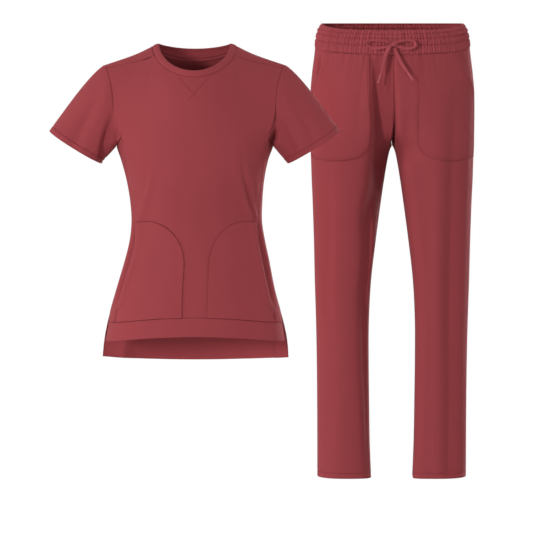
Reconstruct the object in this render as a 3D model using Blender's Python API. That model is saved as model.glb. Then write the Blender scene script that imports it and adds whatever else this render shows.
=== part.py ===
"""Medical scrubs: a short-sleeved top and drawstring trousers, hollow, in the form they have when worn.

The top and the trousers stand side by side. Each cut piece of cloth is one closed wall. The frame is in
metres with +Z up, the fronts face -Y, and the origin is the middle of the top's collar.
Lengths below are in millimetres and angles in degrees, unless a name says otherwise.
"""
import math

import bmesh
import bpy
from mathutils import Vector

MM = 0.001
SEAM = 0.3             # gap between two pieces along a seam
SEAM_ANGLE = 0.08      # half that gap, as an angle round the body
CLOTH = 1.8            # one layer of stretch-woven cloth
DOUBLED = 2.8          # cloth turned up or folded double
LAID = 0.85            # gap under a piece that is sewn flat on another
SQUARENESS = 0.87      # below 1 the body's sections are fuller than an ellipse

TROUSERS_AT = (436.0, 150.0, 0.0)      # middle of the trousers, seen from the collar

TOP_COLOUR = (0.283, 0.049, 0.059, 1.0)
TROUSER_COLOUR = (0.275, 0.047, 0.056, 1.0)
CORD_COLOUR = (0.262, 0.044, 0.052, 1.0)
AGLET_COLOUR = (0.18, 0.03, 0.036, 1.0)


# ---------------------------------------------------------------- reading tables and drawing curves

def read(table, at):
    """All columns of a table, read smoothly at any value of its first column."""
    rows = sorted(table)
    low = 0
    while low < len(rows) - 2 and at > rows[low + 1][0]:
        low += 1
    a, b = rows[low], rows[low + 1]
    before = rows[max(low - 1, 0)]
    after = rows[min(low + 2, len(rows) - 1)]
    step = b[0] - a[0]
    t = (at - a[0]) / step
    values = []
    for k in range(1, len(a)):
        slope_a = (b[k] - before[k]) / (b[0] - before[0])
        slope_b = (after[k] - a[k]) / (after[0] - a[0])
        if t < 0:
            values.append(a[k] + (at - a[0]) * slope_a)
        elif t > 1:
            values.append(b[k] + (at - b[0]) * slope_b)
        else:
            values.append((2 * t ** 3 - 3 * t ** 2 + 1) * a[k] + (t ** 3 - 2 * t ** 2 + t) * step * slope_a
                          + (3 * t ** 2 - 2 * t ** 3) * b[k] + (t ** 3 - t ** 2) * step * slope_b)
    return values


def steps(first, last, count):
    """Evenly spaced values from first to last, both included."""
    return [first + (last - first) * i / count for i in range(count + 1)]


def smooth(t):
    """A ramp from 0 to 1 with soft ends."""
    t = min(1.0, max(0.0, t))
    return t * t * (3 - 2 * t)


def full(value):
    """A sine or cosine made fuller than a circle's, its sign kept."""
    return math.copysign(abs(value) ** SQUARENESS, value)


def angle_of(ratio):
    """The angle whose full cosine is the given ratio of the half width."""
    ratio = min(1.0, max(-1.0, ratio))
    return math.degrees(math.acos(math.copysign(abs(ratio) ** (1 / SQUARENESS), ratio)))


def patch(s, t, bottom, top, left, right, fade=1):
    """A four-sided surface filled in between its border curves, s across and t up.

    A side border's bend fades towards the other side, faster with a higher fade.
    """
    left_bend = left(t) - (left(0) * (1 - t) + left(1) * t)
    right_bend = right(t) - (right(0) * (1 - t) + right(1) * t)
    return (bottom(s) * (1 - t) + top(s) * t
            + left_bend * (1 - s) ** fade + right_bend * s ** fade)


def fold_depth(folds, x, z):
    """How far the troughs of a table of folds press the cloth in at one place of a panel."""
    depth = 0.0
    for from_x, from_z, to_x, to_z, width, deep in folds:
        run_x, run_z = to_x - from_x, to_z - from_z
        length = math.hypot(run_x, run_z)
        along = ((x - from_x) * run_x + (z - from_z) * run_z) / length ** 2
        aside = ((x - from_x) * run_z - (z - from_z) * run_x) / length
        if -0.2 < along < 1.2:
            fade = math.sin(math.pi * (along + 0.2) / 1.4) ** 2
            depth += deep * fade * math.exp(-(aside / width) ** 2)
    return depth


# ---------------------------------------------------------------- making objects

def dyed(name, colour, roughness=0.85):
    """A plain dyed material for one piece."""
    material = bpy.data.materials.new(name)
    material.use_nodes = True
    shader = material.node_tree.nodes["Principled BSDF"]
    shader.inputs["Base Color"].default_value = colour
    shader.inputs["Roughness"].default_value = roughness
    shader.inputs["Metallic"].default_value = 0.0
    return material


def add_object(name, mesh, colour, parent, roughness=0.85):
    """Puts a finished mesh in the scene under its garment's empty."""
    for polygon in mesh.polygons:
        polygon.use_smooth = True
    piece = bpy.data.objects.new(name, mesh)
    piece.parent = parent
    bpy.context.collection.objects.link(piece)
    mesh.materials.append(dyed(name, colour, roughness))
    return piece


def outward(surface, u, v, nudge=1e-3):
    """The direction square to a surface, outward where u runs anticlockwise and v upward."""
    side = surface(u + nudge, v) - surface(u - nudge, v)
    rise = surface(u, v + nudge) - surface(u, v - nudge)
    return side.cross(rise).normalized()


def cloth(name, surface, across, up, colour, parent, wall=CLOTH, lift=None, ring=False, keep=None,
          mirror=False, bend=None, sway=None, inner_step=1):
    """One piece of cloth as a closed wall.

    surface(u, v) is its outer face, u running anticlockwise seen from above and v upward. lift moves the
    wall out from that face, for a piece that lies on a panel. keep(u, v) says which cells are cloth.
    bend changes the direction of the wall's thickness, and sway shifts a height sideways. With an
    inner_step above 1 a ring's inside is plain, with a point for every so many columns.
    """
    points = {}
    for j, v in enumerate(up):
        for i, u in enumerate(across):
            out = outward(surface, u, v)
            if bend:
                out = bend(u, v, out)
            thick = wall(u, v) if callable(wall) else wall
            off = lift(u, v) if callable(lift) else (-thick if lift is None else lift)
            face = surface(u, v)
            points[i, j] = (face + out * (off + thick), face + out * off)
    if inner_step > 1:
        vertices, faces = ring_with_plain_inside(points, len(across), len(up), inner_step)
        return add_wall(name, vertices, faces, colour, parent, mirror, sway)
    columns = len(across) if ring else len(across) - 1
    cells = []
    for j in range(len(up) - 1):
        for i in range(columns):
            k = (i + 1) % len(across)
            if keep is None or keep((across[i] + across[k]) / 2, (up[j] + up[j + 1]) / 2):
                cells.append([(i, j), (k, j), (k, j + 1), (i, j + 1)])
    edges = {(cell[n], cell[(n + 1) % 4]) for cell in cells for n in range(4)}
    used = sorted({corner for cell in cells for corner in cell})
    outer = {corner: n for n, corner in enumerate(used)}
    count = len(used)
    faces = [[outer[c] for c in cell] for cell in cells]
    faces += [[outer[c] + count for c in reversed(cell)] for cell in cells]
    faces += [[outer[b], outer[a], outer[a] + count, outer[b] + count]
              for a, b in sorted(edges) if (b, a) not in edges]
    vertices = [points[corner][layer] for layer in (0, 1) for corner in used]
    return add_wall(name, vertices, faces, colour, parent, mirror, sway)


def ring_with_plain_inside(points, columns, rows, step):
    """Points and faces of a ring whose outside is finely waved and whose inside is plain."""
    inner_columns = columns // step
    vertices = [points[i, j][0] for j in range(rows) for i in range(columns)]
    vertices += [points[i * step, j][1] for j in range(rows) for i in range(inner_columns)]

    def outside(i, j):
        return j * columns + i % columns

    def inside(i, j):
        return rows * columns + j * inner_columns + i % inner_columns

    faces = []
    for j in range(rows - 1):
        faces += [[outside(i, j), outside(i + 1, j), outside(i + 1, j + 1), outside(i, j + 1)]
                  for i in range(columns)]
        faces += [[inside(i, j), inside(i, j + 1), inside(i + 1, j + 1), inside(i + 1, j)]
                  for i in range(inner_columns)]
    for i in range(inner_columns):
        low = [outside(i * step + n, 0) for n in range(step, -1, -1)]
        high = [outside(i * step + n, rows - 1) for n in range(step + 1)]
        faces.append(low + [inside(i, 0), inside(i + 1, 0)])
        faces.append(high + [inside(i + 1, rows - 1), inside(i, rows - 1)])
    return vertices, faces


def add_wall(name, vertices, faces, colour, parent, mirror, sway):
    """Makes a wall's object, flipped to the left side and shifted sideways where asked."""
    placed = []
    for vertex in vertices:
        p = vertex.copy()
        if mirror:
            p.x = -p.x
        if sway:
            p.x += sway(p.z)
        placed.append(p * MM)
    if mirror:
        faces = [face[::-1] for face in faces]
    mesh = bpy.data.meshes.new(name)
    mesh.from_pydata(placed, [], faces)
    mesh.update()
    return add_object(name, mesh, colour, parent)


def garment(name, place):
    """An empty that carries one garment's pieces."""
    empty = bpy.data.objects.new(name, None)
    empty.location = Vector(place) * MM
    bpy.context.collection.objects.link(empty)
    return empty


# ---------------------------------------------------------------- the top's body

# height, half width, front depth, back depth, sideways shift, angle of the front side seam
BODY = [
    (-203.0, 176.0, 111.0, 105.0, 0.0, 28.0),
    (-225.0, 171.4, 114.0, 106.0, 0.0, 26.0),
    (-256.0, 160.6, 119.0, 105.0, -0.3, 22.0),
    (-300.0, 150.4, 121.0, 100.0, 1.2, 16.5),
    (-345.0, 144.8, 111.0, 94.0, 3.0, 15.5),
    (-390.0, 143.0, 101.0, 91.0, 4.0, 18.0),
    (-430.0, 148.0, 98.0, 94.0, 5.2, 20.5),
    (-475.0, 158.2, 101.0, 101.0, 4.5, 22.5),
    (-540.0, 174.2, 108.0, 112.0, 1.2, 23.5),
    (-606.0, 192.5, 114.0, 121.0, 0.8, 23.5),
    (-650.0, 202.4, 117.0, 125.0, 0.3, 23.5),
    (-704.0, 207.6, 119.0, 127.0, -0.3, 23.5),
]
# from x, from z, to x, to z, half width, depth of each trough in the front and in the back
FRONT_FOLDS = [
    (-92.0, -262.0, -124.0, -386.0, 15.0, 4.0),
    (-122.0, -300.0, -133.0, -388.0, 10.0, 2.5),
    (100.0, -278.0, 122.0, -386.0, 15.0, 4.5),
    (124.0, -305.0, 134.0, -390.0, 10.0, 2.5),
    (10.0, -352.0, 74.0, -520.0, 34.0, 2.4),
    (-60.0, -420.0, -92.0, -560.0, 22.0, 2.0),
    (96.0, -430.0, 124.0, -575.0, 20.0, 2.5),
]
BACK_FOLDS = [
    (-88.0, -270.0, -118.0, -400.0, 18.0, 4.0),
    (84.0, -290.0, 116.0, -395.0, 16.0, 4.0),
    (-30.0, -330.0, 36.0, -388.0, 16.0, 3.0),
    (48.0, -380.0, -24.0, -430.0, 15.0, 3.0),
    (-64.0, -480.0, -80.0, -690.0, 26.0, 5.0),
    (52.0, -500.0, 66.0, -690.0, 28.0, 5.0),
]
ARM_LEVEL = -203.0          # top of the front side seam, where the armhole starts
UNDERARM = -225.0
BACK_SEAM = 4.0             # angle of the seam between side panel and back
VENT_TOP = -578.0           # below this the side is open
VENT_INSET = 6.5            # how far the front hangs inside the back there
HEM_SEAM = (-593.7, -17.0)  # height at the middle, and change to the side
BAND_EDGE = (-635.0, -16.0)
BACK_EDGE = (-703.6, 11.0)


def body_sway(z):
    """Sideways shift of the top at a height below the arms."""
    return read(BODY, z)[3] if z < ARM_LEVEL else 0.0


def body(angle, z, front_piece=True):
    """A point on the top's body at an angle (0 at the right side, -90 at the front) and height."""
    half_width, front, back = read(BODY, z)[:3]
    if front_piece:
        half_width -= VENT_INSET * smooth((VENT_TOP - z) / 60)
    c, s = math.cos(math.radians(angle)), math.sin(math.radians(angle))
    point = Vector((half_width * full(c), (front if s < 0 else back) * full(s), z))
    depth = fold_depth(FRONT_FOLDS if s < 0 else BACK_FOLDS, point.x, z)
    return point - Vector((c, s, 0)) * depth


def hem(levels, angle):
    """The height of a hem line at an angle round the body."""
    return levels[0] + levels[1] * abs(math.cos(math.radians(angle))) ** (2 * SQUARENESS)


# station, across, forward (-) or back (+), height: the right armhole above the side panel,
# from the front side seam over the shoulder and down to the side panel's back seam
ARMHOLE = [
    (0.0, *body(-read(BODY, ARM_LEVEL)[4], ARM_LEVEL)),
    (1.0, 166.5, -57.5, -187.0),
    (2.0, 174.0, -55.5, -160.0),
    (3.0, 176.8, -52.0, -128.0),
    (4.0, 181.5, -41.0, -88.0),
    (5.0, 192.0, -14.0, -55.0),
    (6.0, 195.5, 3.5, -48.0),
    (7.0, 190.5, 27.0, -60.0),
    (8.0, 183.5, 46.0, -88.0),
    (9.0, 178.5, 56.0, -125.0),
    (10.0, 175.8, 58.5, -160.0),
    (11.0, 173.0, 52.0, -192.0),
    (12.0, 172.0, 33.0, -214.0),
    (13.0, *body(BACK_SEAM, UNDERARM + 1.4)),
]
SEAM_STATION, RIDGE_STATION, BACK_STATION = 5.0, 6.0, 13.0
UNDERARM_STATIONS = 2.0     # the side panel's top edge takes stations 0 to -2
LOWEST_STATION = -1.6


def armhole(station):
    """A point on the right armhole; stations below 0 run along the side panel's top edge."""
    if station >= 0:
        return Vector(read(ARMHOLE, station))
    t = -station / UNDERARM_STATIONS
    rise = ((station - LOWEST_STATION) / LOWEST_STATION) ** 2
    z = UNDERARM + (ARM_LEVEL - UNDERARM) * rise
    front_seam = read(BODY, z)[4] * (1 - t) + read(BODY, ARM_LEVEL)[4] * t
    return body(-front_seam * (1 - t) + BACK_SEAM * t, z)


NECK_SEAM = dict(half_width=92.0, front=80.0, back=66.0, top=-7.0, front_drop=66.0, back_drop=24.0)
NECK_EDGE = dict(half_width=77.8, front=76.0, back=58.0, top=-1.0, front_drop=57.6, back_drop=11.5)
NECK_SHOULDER = 19.0        # angle round the neck, forward of its side, where the shoulder seam ends
# part of the way from neck to arm, across, seam forward, seam height, ridge back, ridge height
SHOULDER = [
    (0.0, 92.0, 0.0, -7.0),
    (0.33, 124.0, 1.5, -22.5),
    (0.66, 160.0, 2.5, -36.0),
    (1.0, *ARMHOLE[6][1:]),
]
SHOULDER_SEAM = [
    (0.0, 87.0, -26.0, -27.0),
    (0.33, 121.0, -24.0, -39.0),
    (0.66, 157.0, -18.5, -46.5),
    (1.0, *ARMHOLE[5][1:]),
]
NECK_PART = 0.625           # share of a panel's width that its neckline takes
SIDE_FADE = 3               # how fast the armholes' curve fades into the chest and the back
COLUMNS = 16


def neckline(curve, angle):
    """A point on the seam or the edge of the neck band."""
    c, s = math.cos(math.radians(angle)), math.sin(math.radians(angle))
    if s < 0:
        depth, drop, power = curve["front"], curve["front_drop"], 1.08
    else:
        depth, drop, power = curve["back"], curve["back_drop"], 1.6
    return Vector((curve["half_width"] * c, depth * s, curve["top"] - drop * abs(s) ** power))


def shoulder_seam(part):
    """The forward shoulder seam, from the neck to the arm, on the right side."""
    start = neckline(NECK_SEAM, -NECK_SHOULDER)
    point = Vector(read(SHOULDER_SEAM, part))
    return point + (start - Vector(SHOULDER_SEAM[0][1:])) * (1 - part) ** 2


def flip(point):
    """The same point on the left side."""
    return Vector((-point.x, point.y, point.z))


def top_edge(u, seam_line, neck_angle):
    """A panel's top border: a shoulder, the neckline and the other shoulder; u is +1 at the right."""
    if abs(u) <= NECK_PART:
        return neckline(NECK_SEAM, neck_angle(u / NECK_PART))
    part = (abs(u) - NECK_PART) / (1 - NECK_PART)
    point = seam_line(part)
    return point if u > 0 else flip(point)


def front_panel(u, v):
    """The front: v runs 0 to 1 up to the armholes, and 1 to 2 from there to shoulders and neck."""
    if v <= 1:
        seam_angle = read(BODY, ARM_LEVEL)[4]
        bottom = hem(HEM_SEAM, -90 + u * (90 - seam_angle))
        z = bottom + (ARM_LEVEL - bottom) * v
        return body(-90 + u * (90 - read(BODY, z)[4] - SEAM_ANGLE), z)
    t = v - 1
    point = patch(
        (u + 1) / 2, t,
        lambda s: front_panel(2 * s - 1, 1.0),
        lambda s: top_edge(2 * s - 1, shoulder_seam, lambda n: -90 + n * (90 - NECK_SHOULDER)),
        lambda k: flip(armhole(SEAM_STATION * k)),
        lambda k: armhole(SEAM_STATION * k), fade=SIDE_FADE)
    return point - Vector((0, 5.0 * math.sin(math.pi * t) * (1 - u * u), 0))


def back_panel(u, v):
    """The back: v 0 to 1 up to the armholes, 1 to 2 to the shoulder ridge, 2 to 3 over the ridge.

    u is +1 at the left side, so that it still runs anticlockwise.
    """
    if v <= 1:
        bottom = hem(BACK_EDGE, 90 + u * (90 - BACK_SEAM))
        z = bottom + (ARMHOLE[-1][3] - bottom) * v
        return body(90 + u * (90 - BACK_SEAM - SEAM_ANGLE), z, front_piece=False)

    def ridge(part):
        return Vector(read(SHOULDER, part))

    if v <= 2:
        t = v - 1
        station = BACK_STATION + (RIDGE_STATION - BACK_STATION) * t
        point = patch(
            (u + 1) / 2, t,
            lambda s: back_panel(2 * s - 1, 1.0),
            lambda s: flip(top_edge(2 * s - 1, ridge, lambda n: 90 - n * 90)),
            lambda k: armhole(BACK_STATION + (RIDGE_STATION - BACK_STATION) * k),
            lambda k: flip(armhole(BACK_STATION + (RIDGE_STATION - BACK_STATION) * k)), fade=SIDE_FADE)
        return point + Vector((0, 10.0 * math.sin(math.pi * t) * (1 - u * u), 0))
    t = v - 2
    part = (abs(u) - NECK_PART) / (1 - NECK_PART)
    point = patch(
        part, t, ridge, shoulder_seam,
        lambda k: neckline(NECK_SEAM, -NECK_SHOULDER * k),
        lambda k: armhole(RIDGE_STATION + (SEAM_STATION - RIDGE_STATION) * k))
    point += Vector((0, -0.4, 0.9)) * 8.0 * part * (1 - part) * math.sin(math.pi * t)
    return point if u < 0 else flip(point)


BODY_ROWS = 13
FRONT_ROWS = 9
BACK_ROWS = 10
UNDERARM_COLUMNS = 4
RIDGE_ROWS = 2


def side_panel(u, v):
    """The right side panel, u from the front seam to the back one, v up to the underarm."""
    seam_angle = read(BODY, ARM_LEVEL)[4]
    bottom = hem(HEM_SEAM, -seam_angle * (1 - u) + BACK_SEAM * u)
    z = bottom + (armhole(-UNDERARM_STATIONS * u).z - bottom) * v
    front_seam = read(BODY, z)[4]
    front_seam += (seam_angle - front_seam) * u * v
    return body((-front_seam + SEAM_ANGLE) * (1 - u) + (BACK_SEAM - SEAM_ANGLE) * u, z)


def make_body(parent):
    """Front, back and the two side panels."""
    cloth("top_front", front_panel, steps(-1, 1, COLUMNS),
          steps(0, 1, BODY_ROWS) + steps(1, 2, FRONT_ROWS)[1:], TOP_COLOUR, parent, sway=body_sway)
    cloth("top_back", back_panel, steps(-1, 1, COLUMNS),
          steps(0, 1, BODY_ROWS + 2) + steps(1, 2, BACK_ROWS)[1:] + steps(2, 3 - 0.02, RIDGE_ROWS)[1:],
          TOP_COLOUR, parent, keep=lambda u, v: v < 2 or abs(u) > NECK_PART, sway=body_sway)
    for name, mirror in (("top_side_right", False), ("top_side_left", True)):
        cloth(name, side_panel, steps(0, 1, UNDERARM_COLUMNS), steps(0, 1, BODY_ROWS),
              TOP_COLOUR, parent, mirror=mirror, sway=body_sway)


def hem_band(u, v):
    """The doubled band under the front and the side panels, from vent to vent."""
    angle = -90 + u * (90 + BACK_SEAM)
    bottom, top = hem(BAND_EDGE, angle), hem(HEM_SEAM, angle) - SEAM
    return body(angle, bottom + (top - bottom) * v)


def make_hem_band(parent):
    """The front hem band, a little proud of the panels above it."""
    cloth("top_hem_band", hem_band, steps(-1, 1, 24), steps(0, 1, 3), TOP_COLOUR, parent,
          wall=DOUBLED, lift=0.4 - DOUBLED, sway=body_sway)


# ---------------------------------------------------------------- neck band

BAND_RISE = 3


def neck_angles():
    """The angles of the neckline points that the front, the shoulders and the back have."""
    neck_columns = round(COLUMNS * NECK_PART)
    front = steps(-180 + NECK_SHOULDER, -NECK_SHOULDER, neck_columns)
    right = steps(-NECK_SHOULDER, 0, RIDGE_ROWS)[1:-1]
    back = steps(0, 180, neck_columns)
    left = steps(180, 180 + NECK_SHOULDER, RIDGE_ROWS)[1:-1]
    return front + right + back + left


def neck_band(angle, v):
    """The band round the neck, from its seam up to its folded edge, slightly rounded."""
    seam, edge = neckline(NECK_SEAM, angle), neckline(NECK_EDGE, angle)
    out = Vector((math.cos(math.radians(angle)), math.sin(math.radians(angle)), 0.8))
    return seam + (edge - seam) * v + out * 1.2 * math.sin(math.pi * v)


def neck_tape(angle, v):
    """The tape sewn inside the back neck, hung just below the band."""
    seam = neckline(NECK_SEAM, angle)
    out = Vector((math.cos(math.radians(angle)) * 0.6, math.sin(math.radians(angle)), 0))
    return seam - out * (2.6 - 1.6 * (1 - v)) - Vector((0, 0, 1.0 + 9.0 * (1 - v)))


def make_neck(parent):
    """The doubled neck band and the tape behind it."""
    clear = SEAM / 15.0
    cloth("top_neck_band", neck_band, neck_angles(), [clear, 0.35, 0.7, 1.0], TOP_COLOUR, parent,
          wall=2.2, ring=True)
    cloth("top_neck_tape", neck_tape, steps(33, 147, 12), [0.0, 1.0], TOP_COLOUR, parent, wall=0.9)


# ---------------------------------------------------------------- sleeves

SLEEVE_TOP = Vector((318.0, 0.0, -191.6))       # outer corner of the sleeve's hem
SLEEVE_UNDER = Vector((203.0, 0.0, -263.0))     # inner corner
SLEEVE_DEPTH = 55.0                             # half its size from front to back
SLEEVE_HEM = 0.9
# armhole station and the angle round the sleeve, 0 on top, 90 in front, 180 under the arm
SLEEVE_ANGLES = [
    (-2.0, 187.0), (-1.0, 160.0), (0.0, 134.0), (1.0, 113.0), (2.0, 91.0), (3.0, 67.0), (4.0, 38.0),
    (5.0, 10.0), (6.0, -9.0), (7.0, -30.0), (8.0, -50.0), (9.0, -72.0), (10.0, -95.0),
    (11.0, -118.0), (12.0, -144.0), (13.0, -173.0),
]
# angle round the sleeve, half width as an angle, depth of each trough from armpit to hem
SLEEVE_FOLDS = [(148.0, 13.0, 7.0), (112.0, 12.0, 3.0), (-146.0, 14.0, 6.0), (-110.0, 12.0, 3.0)]


def sleeve(turn, v):
    """The right sleeve; turn is minus the armhole's station, and v runs out to the hem."""
    start = armhole(-turn) + Vector((0.82, 0, -0.57)) * (SEAM + 0.1) * (1 - v)
    angle = read(SLEEVE_ANGLES, -turn)[0]
    c, s = math.cos(math.radians(angle)), math.sin(math.radians(angle))
    middle = (SLEEVE_TOP + SLEEVE_UNDER) / 2
    end = middle + (SLEEVE_TOP - SLEEVE_UNDER) / 2 * c - Vector((0, SLEEVE_DEPTH * s, 0))
    out = Vector((0.76 * c, -s, 0.65 * c))
    swell = 5.0 * (1 + c) / 2 * math.sin(math.pi * v)
    press = 0.0
    for fold_angle, width, deep in SLEEVE_FOLDS:
        away = (angle - fold_angle + 180) % 360 - 180
        press += deep * math.exp(-(away / width) ** 2) * math.sin(math.pi * v * 0.95)
    return start + (end - start) * v + out * (swell - press)


def sleeve_stations():
    """The armhole stations that the panels and the side panel have points at, falling in value."""
    front = steps(0, SEAM_STATION, FRONT_ROWS)
    ridge = steps(SEAM_STATION, RIDGE_STATION, RIDGE_ROWS)[1:-1]
    back = steps(RIDGE_STATION, BACK_STATION, BACK_ROWS)
    under = steps(-UNDERARM_STATIONS, 0, UNDERARM_COLUMNS)[1:-1]
    return sorted(set(under + front + ridge + back), reverse=True)


def make_sleeves(parent):
    """Two set-in sleeves, open at the armhole and at the turned-up hem."""
    turns = [-station for station in sleeve_stations()]
    rows = [0.0, 0.1, 0.22, 0.36, 0.52, 0.68, 0.82, SLEEVE_HEM, 1.0]

    def at_armhole(u, v, out):
        if v < 0.05:
            return Vector((0, out.y, out.z)).normalized()
        return out

    for name, mirror in (("top_sleeve_right", False), ("top_sleeve_left", True)):
        cloth(name, sleeve, turns, rows, TOP_COLOUR, parent, ring=True, mirror=mirror, bend=at_armhole,
              wall=lambda u, v: DOUBLED if v > SLEEVE_HEM - 0.01 else CLOTH)


# ---------------------------------------------------------------- the top's pockets

POCKET_INNER = 26.0         # inner edge of the pocket from the centre front
POCKET_ARC = dict(centre_x=105.0, centre_z=-480.0, half_width=78.5, height=95.0)
POCKET_TOP = 126.0          # where the arc ends at the side
ARC_PART = 0.82             # share of the top edge that is the arc
OPENING_ANGLE = 1.2         # the open edge lies this far in from the side seam
OPENING_LIFT = 3.0          # and stands off the front by this much
POCKET_CELLS = 10


def front_angle(x, z):
    """How far round from the side a place on the front is, from its distance to the centre."""
    half_width = read(BODY, z)[0] - VENT_INSET * smooth((VENT_TOP - z) / 60)
    return angle_of(x / half_width)


def pocket_place(s, t):
    """A place on a pocket as an angle from the side and a height, s outward and t upward."""
    def opening(z):
        return read(BODY, z)[4] + OPENING_ANGLE

    def place(angle, z):
        return Vector((angle, 0, z))

    def arc(k):
        turn = math.pi / 2 * min(1.0, k / ARC_PART)
        past = max(0.0, k - ARC_PART) / (1 - ARC_PART)
        x = POCKET_ARC["centre_x"] - POCKET_ARC["half_width"] * math.cos(turn)
        z = POCKET_ARC["centre_z"] + POCKET_ARC["height"] * math.sin(turn) - 2.0 * past
        return place(front_angle(x + (POCKET_TOP - POCKET_ARC["centre_x"]) * past, z), z)

    def bottom(k):
        z = hem(HEM_SEAM, -90) + SEAM
        inner_angle = front_angle(POCKET_INNER, z)
        angle = inner_angle + (opening(z) - inner_angle) * k
        return place(angle, hem(HEM_SEAM, -angle) + SEAM)

    def outer(k):
        low, high = bottom(1), arc(1)
        z = low.z + (high.z - low.z) * k
        ends = (opening(low.z) - low.x) * (1 - k) + (opening(high.z) - high.x) * k
        return place(opening(z) - ends, z)

    def inner(k):
        low, high = bottom(0), arc(0)
        return place(front_angle(POCKET_INNER, low.z + (high.z - low.z) * k), low.z + (high.z - low.z) * k)

    return patch(s, t, bottom, arc, inner, outer)


def make_top_pockets(parent):
    """Two round-topped pockets, laid on the front, each open along its outer edge."""
    def right(s, t):
        place = pocket_place(s, t)
        return body(-place.x, place.z)

    def left(s, t):
        place = pocket_place(s, t)
        return flip(body(-180 + place.x, place.z))

    def off_right(s, t, _):
        place = pocket_place(s, t)
        return outward(body, -place.x, place.z, 0.05)

    def off_left(s, t, _):
        place = pocket_place(s, t)
        return flip(outward(body, -180 + place.x, place.z, 0.05))

    def lift(s, t):
        return LAID + OPENING_LIFT * smooth((s - 0.6) / 0.4) * math.sin(math.pi * t)

    for name, surface, off, mirror in (("top_pocket_right", right, off_right, False),
                                       ("top_pocket_left", left, off_left, True)):
        cloth(name, surface, steps(0, 1, POCKET_CELLS), steps(0, 1, POCKET_CELLS), TOP_COLOUR, parent,
              mirror=mirror, lift=lift, bend=off, sway=body_sway)


# ---------------------------------------------------------------- trousers

# height, outer side, inner side (below 0 it would pass the centre), front depth, back depth
LEG = [
    (-10.0, 171.5, -171.5, 94.0, 93.0),
    (-28.0, 173.4, -171.0, 97.0, 96.0),
    (-67.0, 178.3, -152.0, 104.0, 108.0),
    (-110.0, 181.8, -118.0, 110.0, 118.0),
    (-156.0, 182.5, -76.0, 113.0, 122.0),
    (-195.0, 182.2, -34.0, 113.0, 120.0),
    (-216.0, 182.0, -12.0, 112.0, 118.0),
    (-230.0, 181.8, 0.8, 111.0, 115.0),
    (-240.0, 181.4, 5.6, 110.0, 112.0),
    (-262.0, 180.4, 10.6, 107.0, 108.0),
    (-305.0, 179.0, 17.8, 102.0, 103.0),
    (-349.0, 177.0, 24.2, 97.0, 97.0),
    (-438.0, 174.0, 36.2, 87.0, 87.0),
    (-527.0, 172.0, 46.4, 78.0, 77.0),
    (-617.0, 169.2, 51.1, 72.0, 71.0),
    (-706.0, 167.4, 51.4, 68.0, 68.0),
    (-795.0, 166.5, 50.4, 65.0, 65.0),
    (-885.0, 166.1, 49.0, 62.5, 63.0),
    (-966.0, 166.0, 46.0, 61.0, 62.0),
]
# from x, from z, to x, to z, half width, depth of each trough in the leg fronts and backs
LEG_FRONT_FOLDS = [
    (-34.0, -70.0, -28.0, -228.0, 18.0, 6.0),
    (-62.0, -290.0, -84.0, -500.0, 20.0, 4.0),
    (-128.0, -330.0, -122.0, -600.0, 22.0, 4.0),
    (-96.0, -560.0, -92.0, -900.0, 18.0, 3.5),
    (32.0, -110.0, 28.0, -228.0, 17.0, 3.5),
    (62.0, -290.0, 80.0, -470.0, 20.0, 3.5),
    (120.0, -340.0, 112.0, -620.0, 24.0, 4.0),
    (134.0, -620.0, 128.0, -900.0, 16.0, 3.0),
]
LEG_BACK_FOLDS = [
    (-44.0, -160.0, -70.0, -300.0, 18.0, 6.0),
    (46.0, -150.0, 72.0, -290.0, 18.0, 6.0),
    (-110.0, -320.0, -100.0, -560.0, 22.0, 4.0),
    (104.0, -300.0, 116.0, -540.0, 22.0, 4.0),
    (-88.0, -540.0, -120.0, -640.0, 16.0, 4.0),
    (92.0, -560.0, 124.0, -650.0, 16.0, 4.0),
]
LEG_LEVELS = [-951.0, -870.0, -790.0, -710.0, -640.0, -575.0, -510.0, -450.0, -395.0, -345.0, -300.0,
              -266.0, -246.0, -236.0, -230.4, -226.0, -219.0, -206.0, -188.0, -164.0, -134.0, -102.0, -68.0]
LEG_END = (-965.5, -1.5)    # the leg hem's height at the side, and how much lower its front is
FRONT_LEG_COLUMNS = 10
BACK_LEG_COLUMNS = 8
WAIST_SEAM = (-10.0, -15.3)     # height at the sides and back, and how much lower the front is
WAIST_EDGE = (42.5, -15.3)


def leg_section(z):
    """Centre, half width, front and back depth of one leg's section at a height."""
    outer, inner, front, back = read(LEG, z)
    return (outer + inner) / 2, (outer - inner) / 2, front, back


def inner_angle(z):
    """How far round a leg's front or back panel reaches: to the centre seam, or to the inseam."""
    centre, half_width, _, _ = leg_section(z)
    return angle_of(-(centre - SEAM / 2) / half_width)


def leg(angle, z, side):
    """A point on a leg at an angle (0 outside, -90 in front) and a height; side is 1 or -1."""
    centre, half_width, front, back = leg_section(z)
    c, s = math.cos(math.radians(angle)), math.sin(math.radians(angle))
    point = Vector((centre + half_width * full(c), (front if s < 0 else back) * full(s), z))
    folds = LEG_FRONT_FOLDS if s < 0 else LEG_BACK_FOLDS
    depth = fold_depth(folds, side * point.x, z) * min(1.0, abs(s) * 2.5) * smooth(point.x / 12)
    return point - Vector((c * 0.3, s, 0)) * depth


def waist_height(levels, angle):
    """The height of a line round the waistband: level behind, dipping in front."""
    return levels[0] + levels[1] * full(max(0.0, -math.sin(math.radians(angle))))


def leg_height(level, angle):
    """The height that a named level has at an angle round a leg, at the hem and at the waist."""
    if level == "hem":
        return LEG_END[0] + LEG_END[1] * max(0.0, -math.sin(math.radians(angle)))
    if level == "waist":
        return waist_height(WAIST_SEAM, angle) - SEAM
    return level


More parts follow.
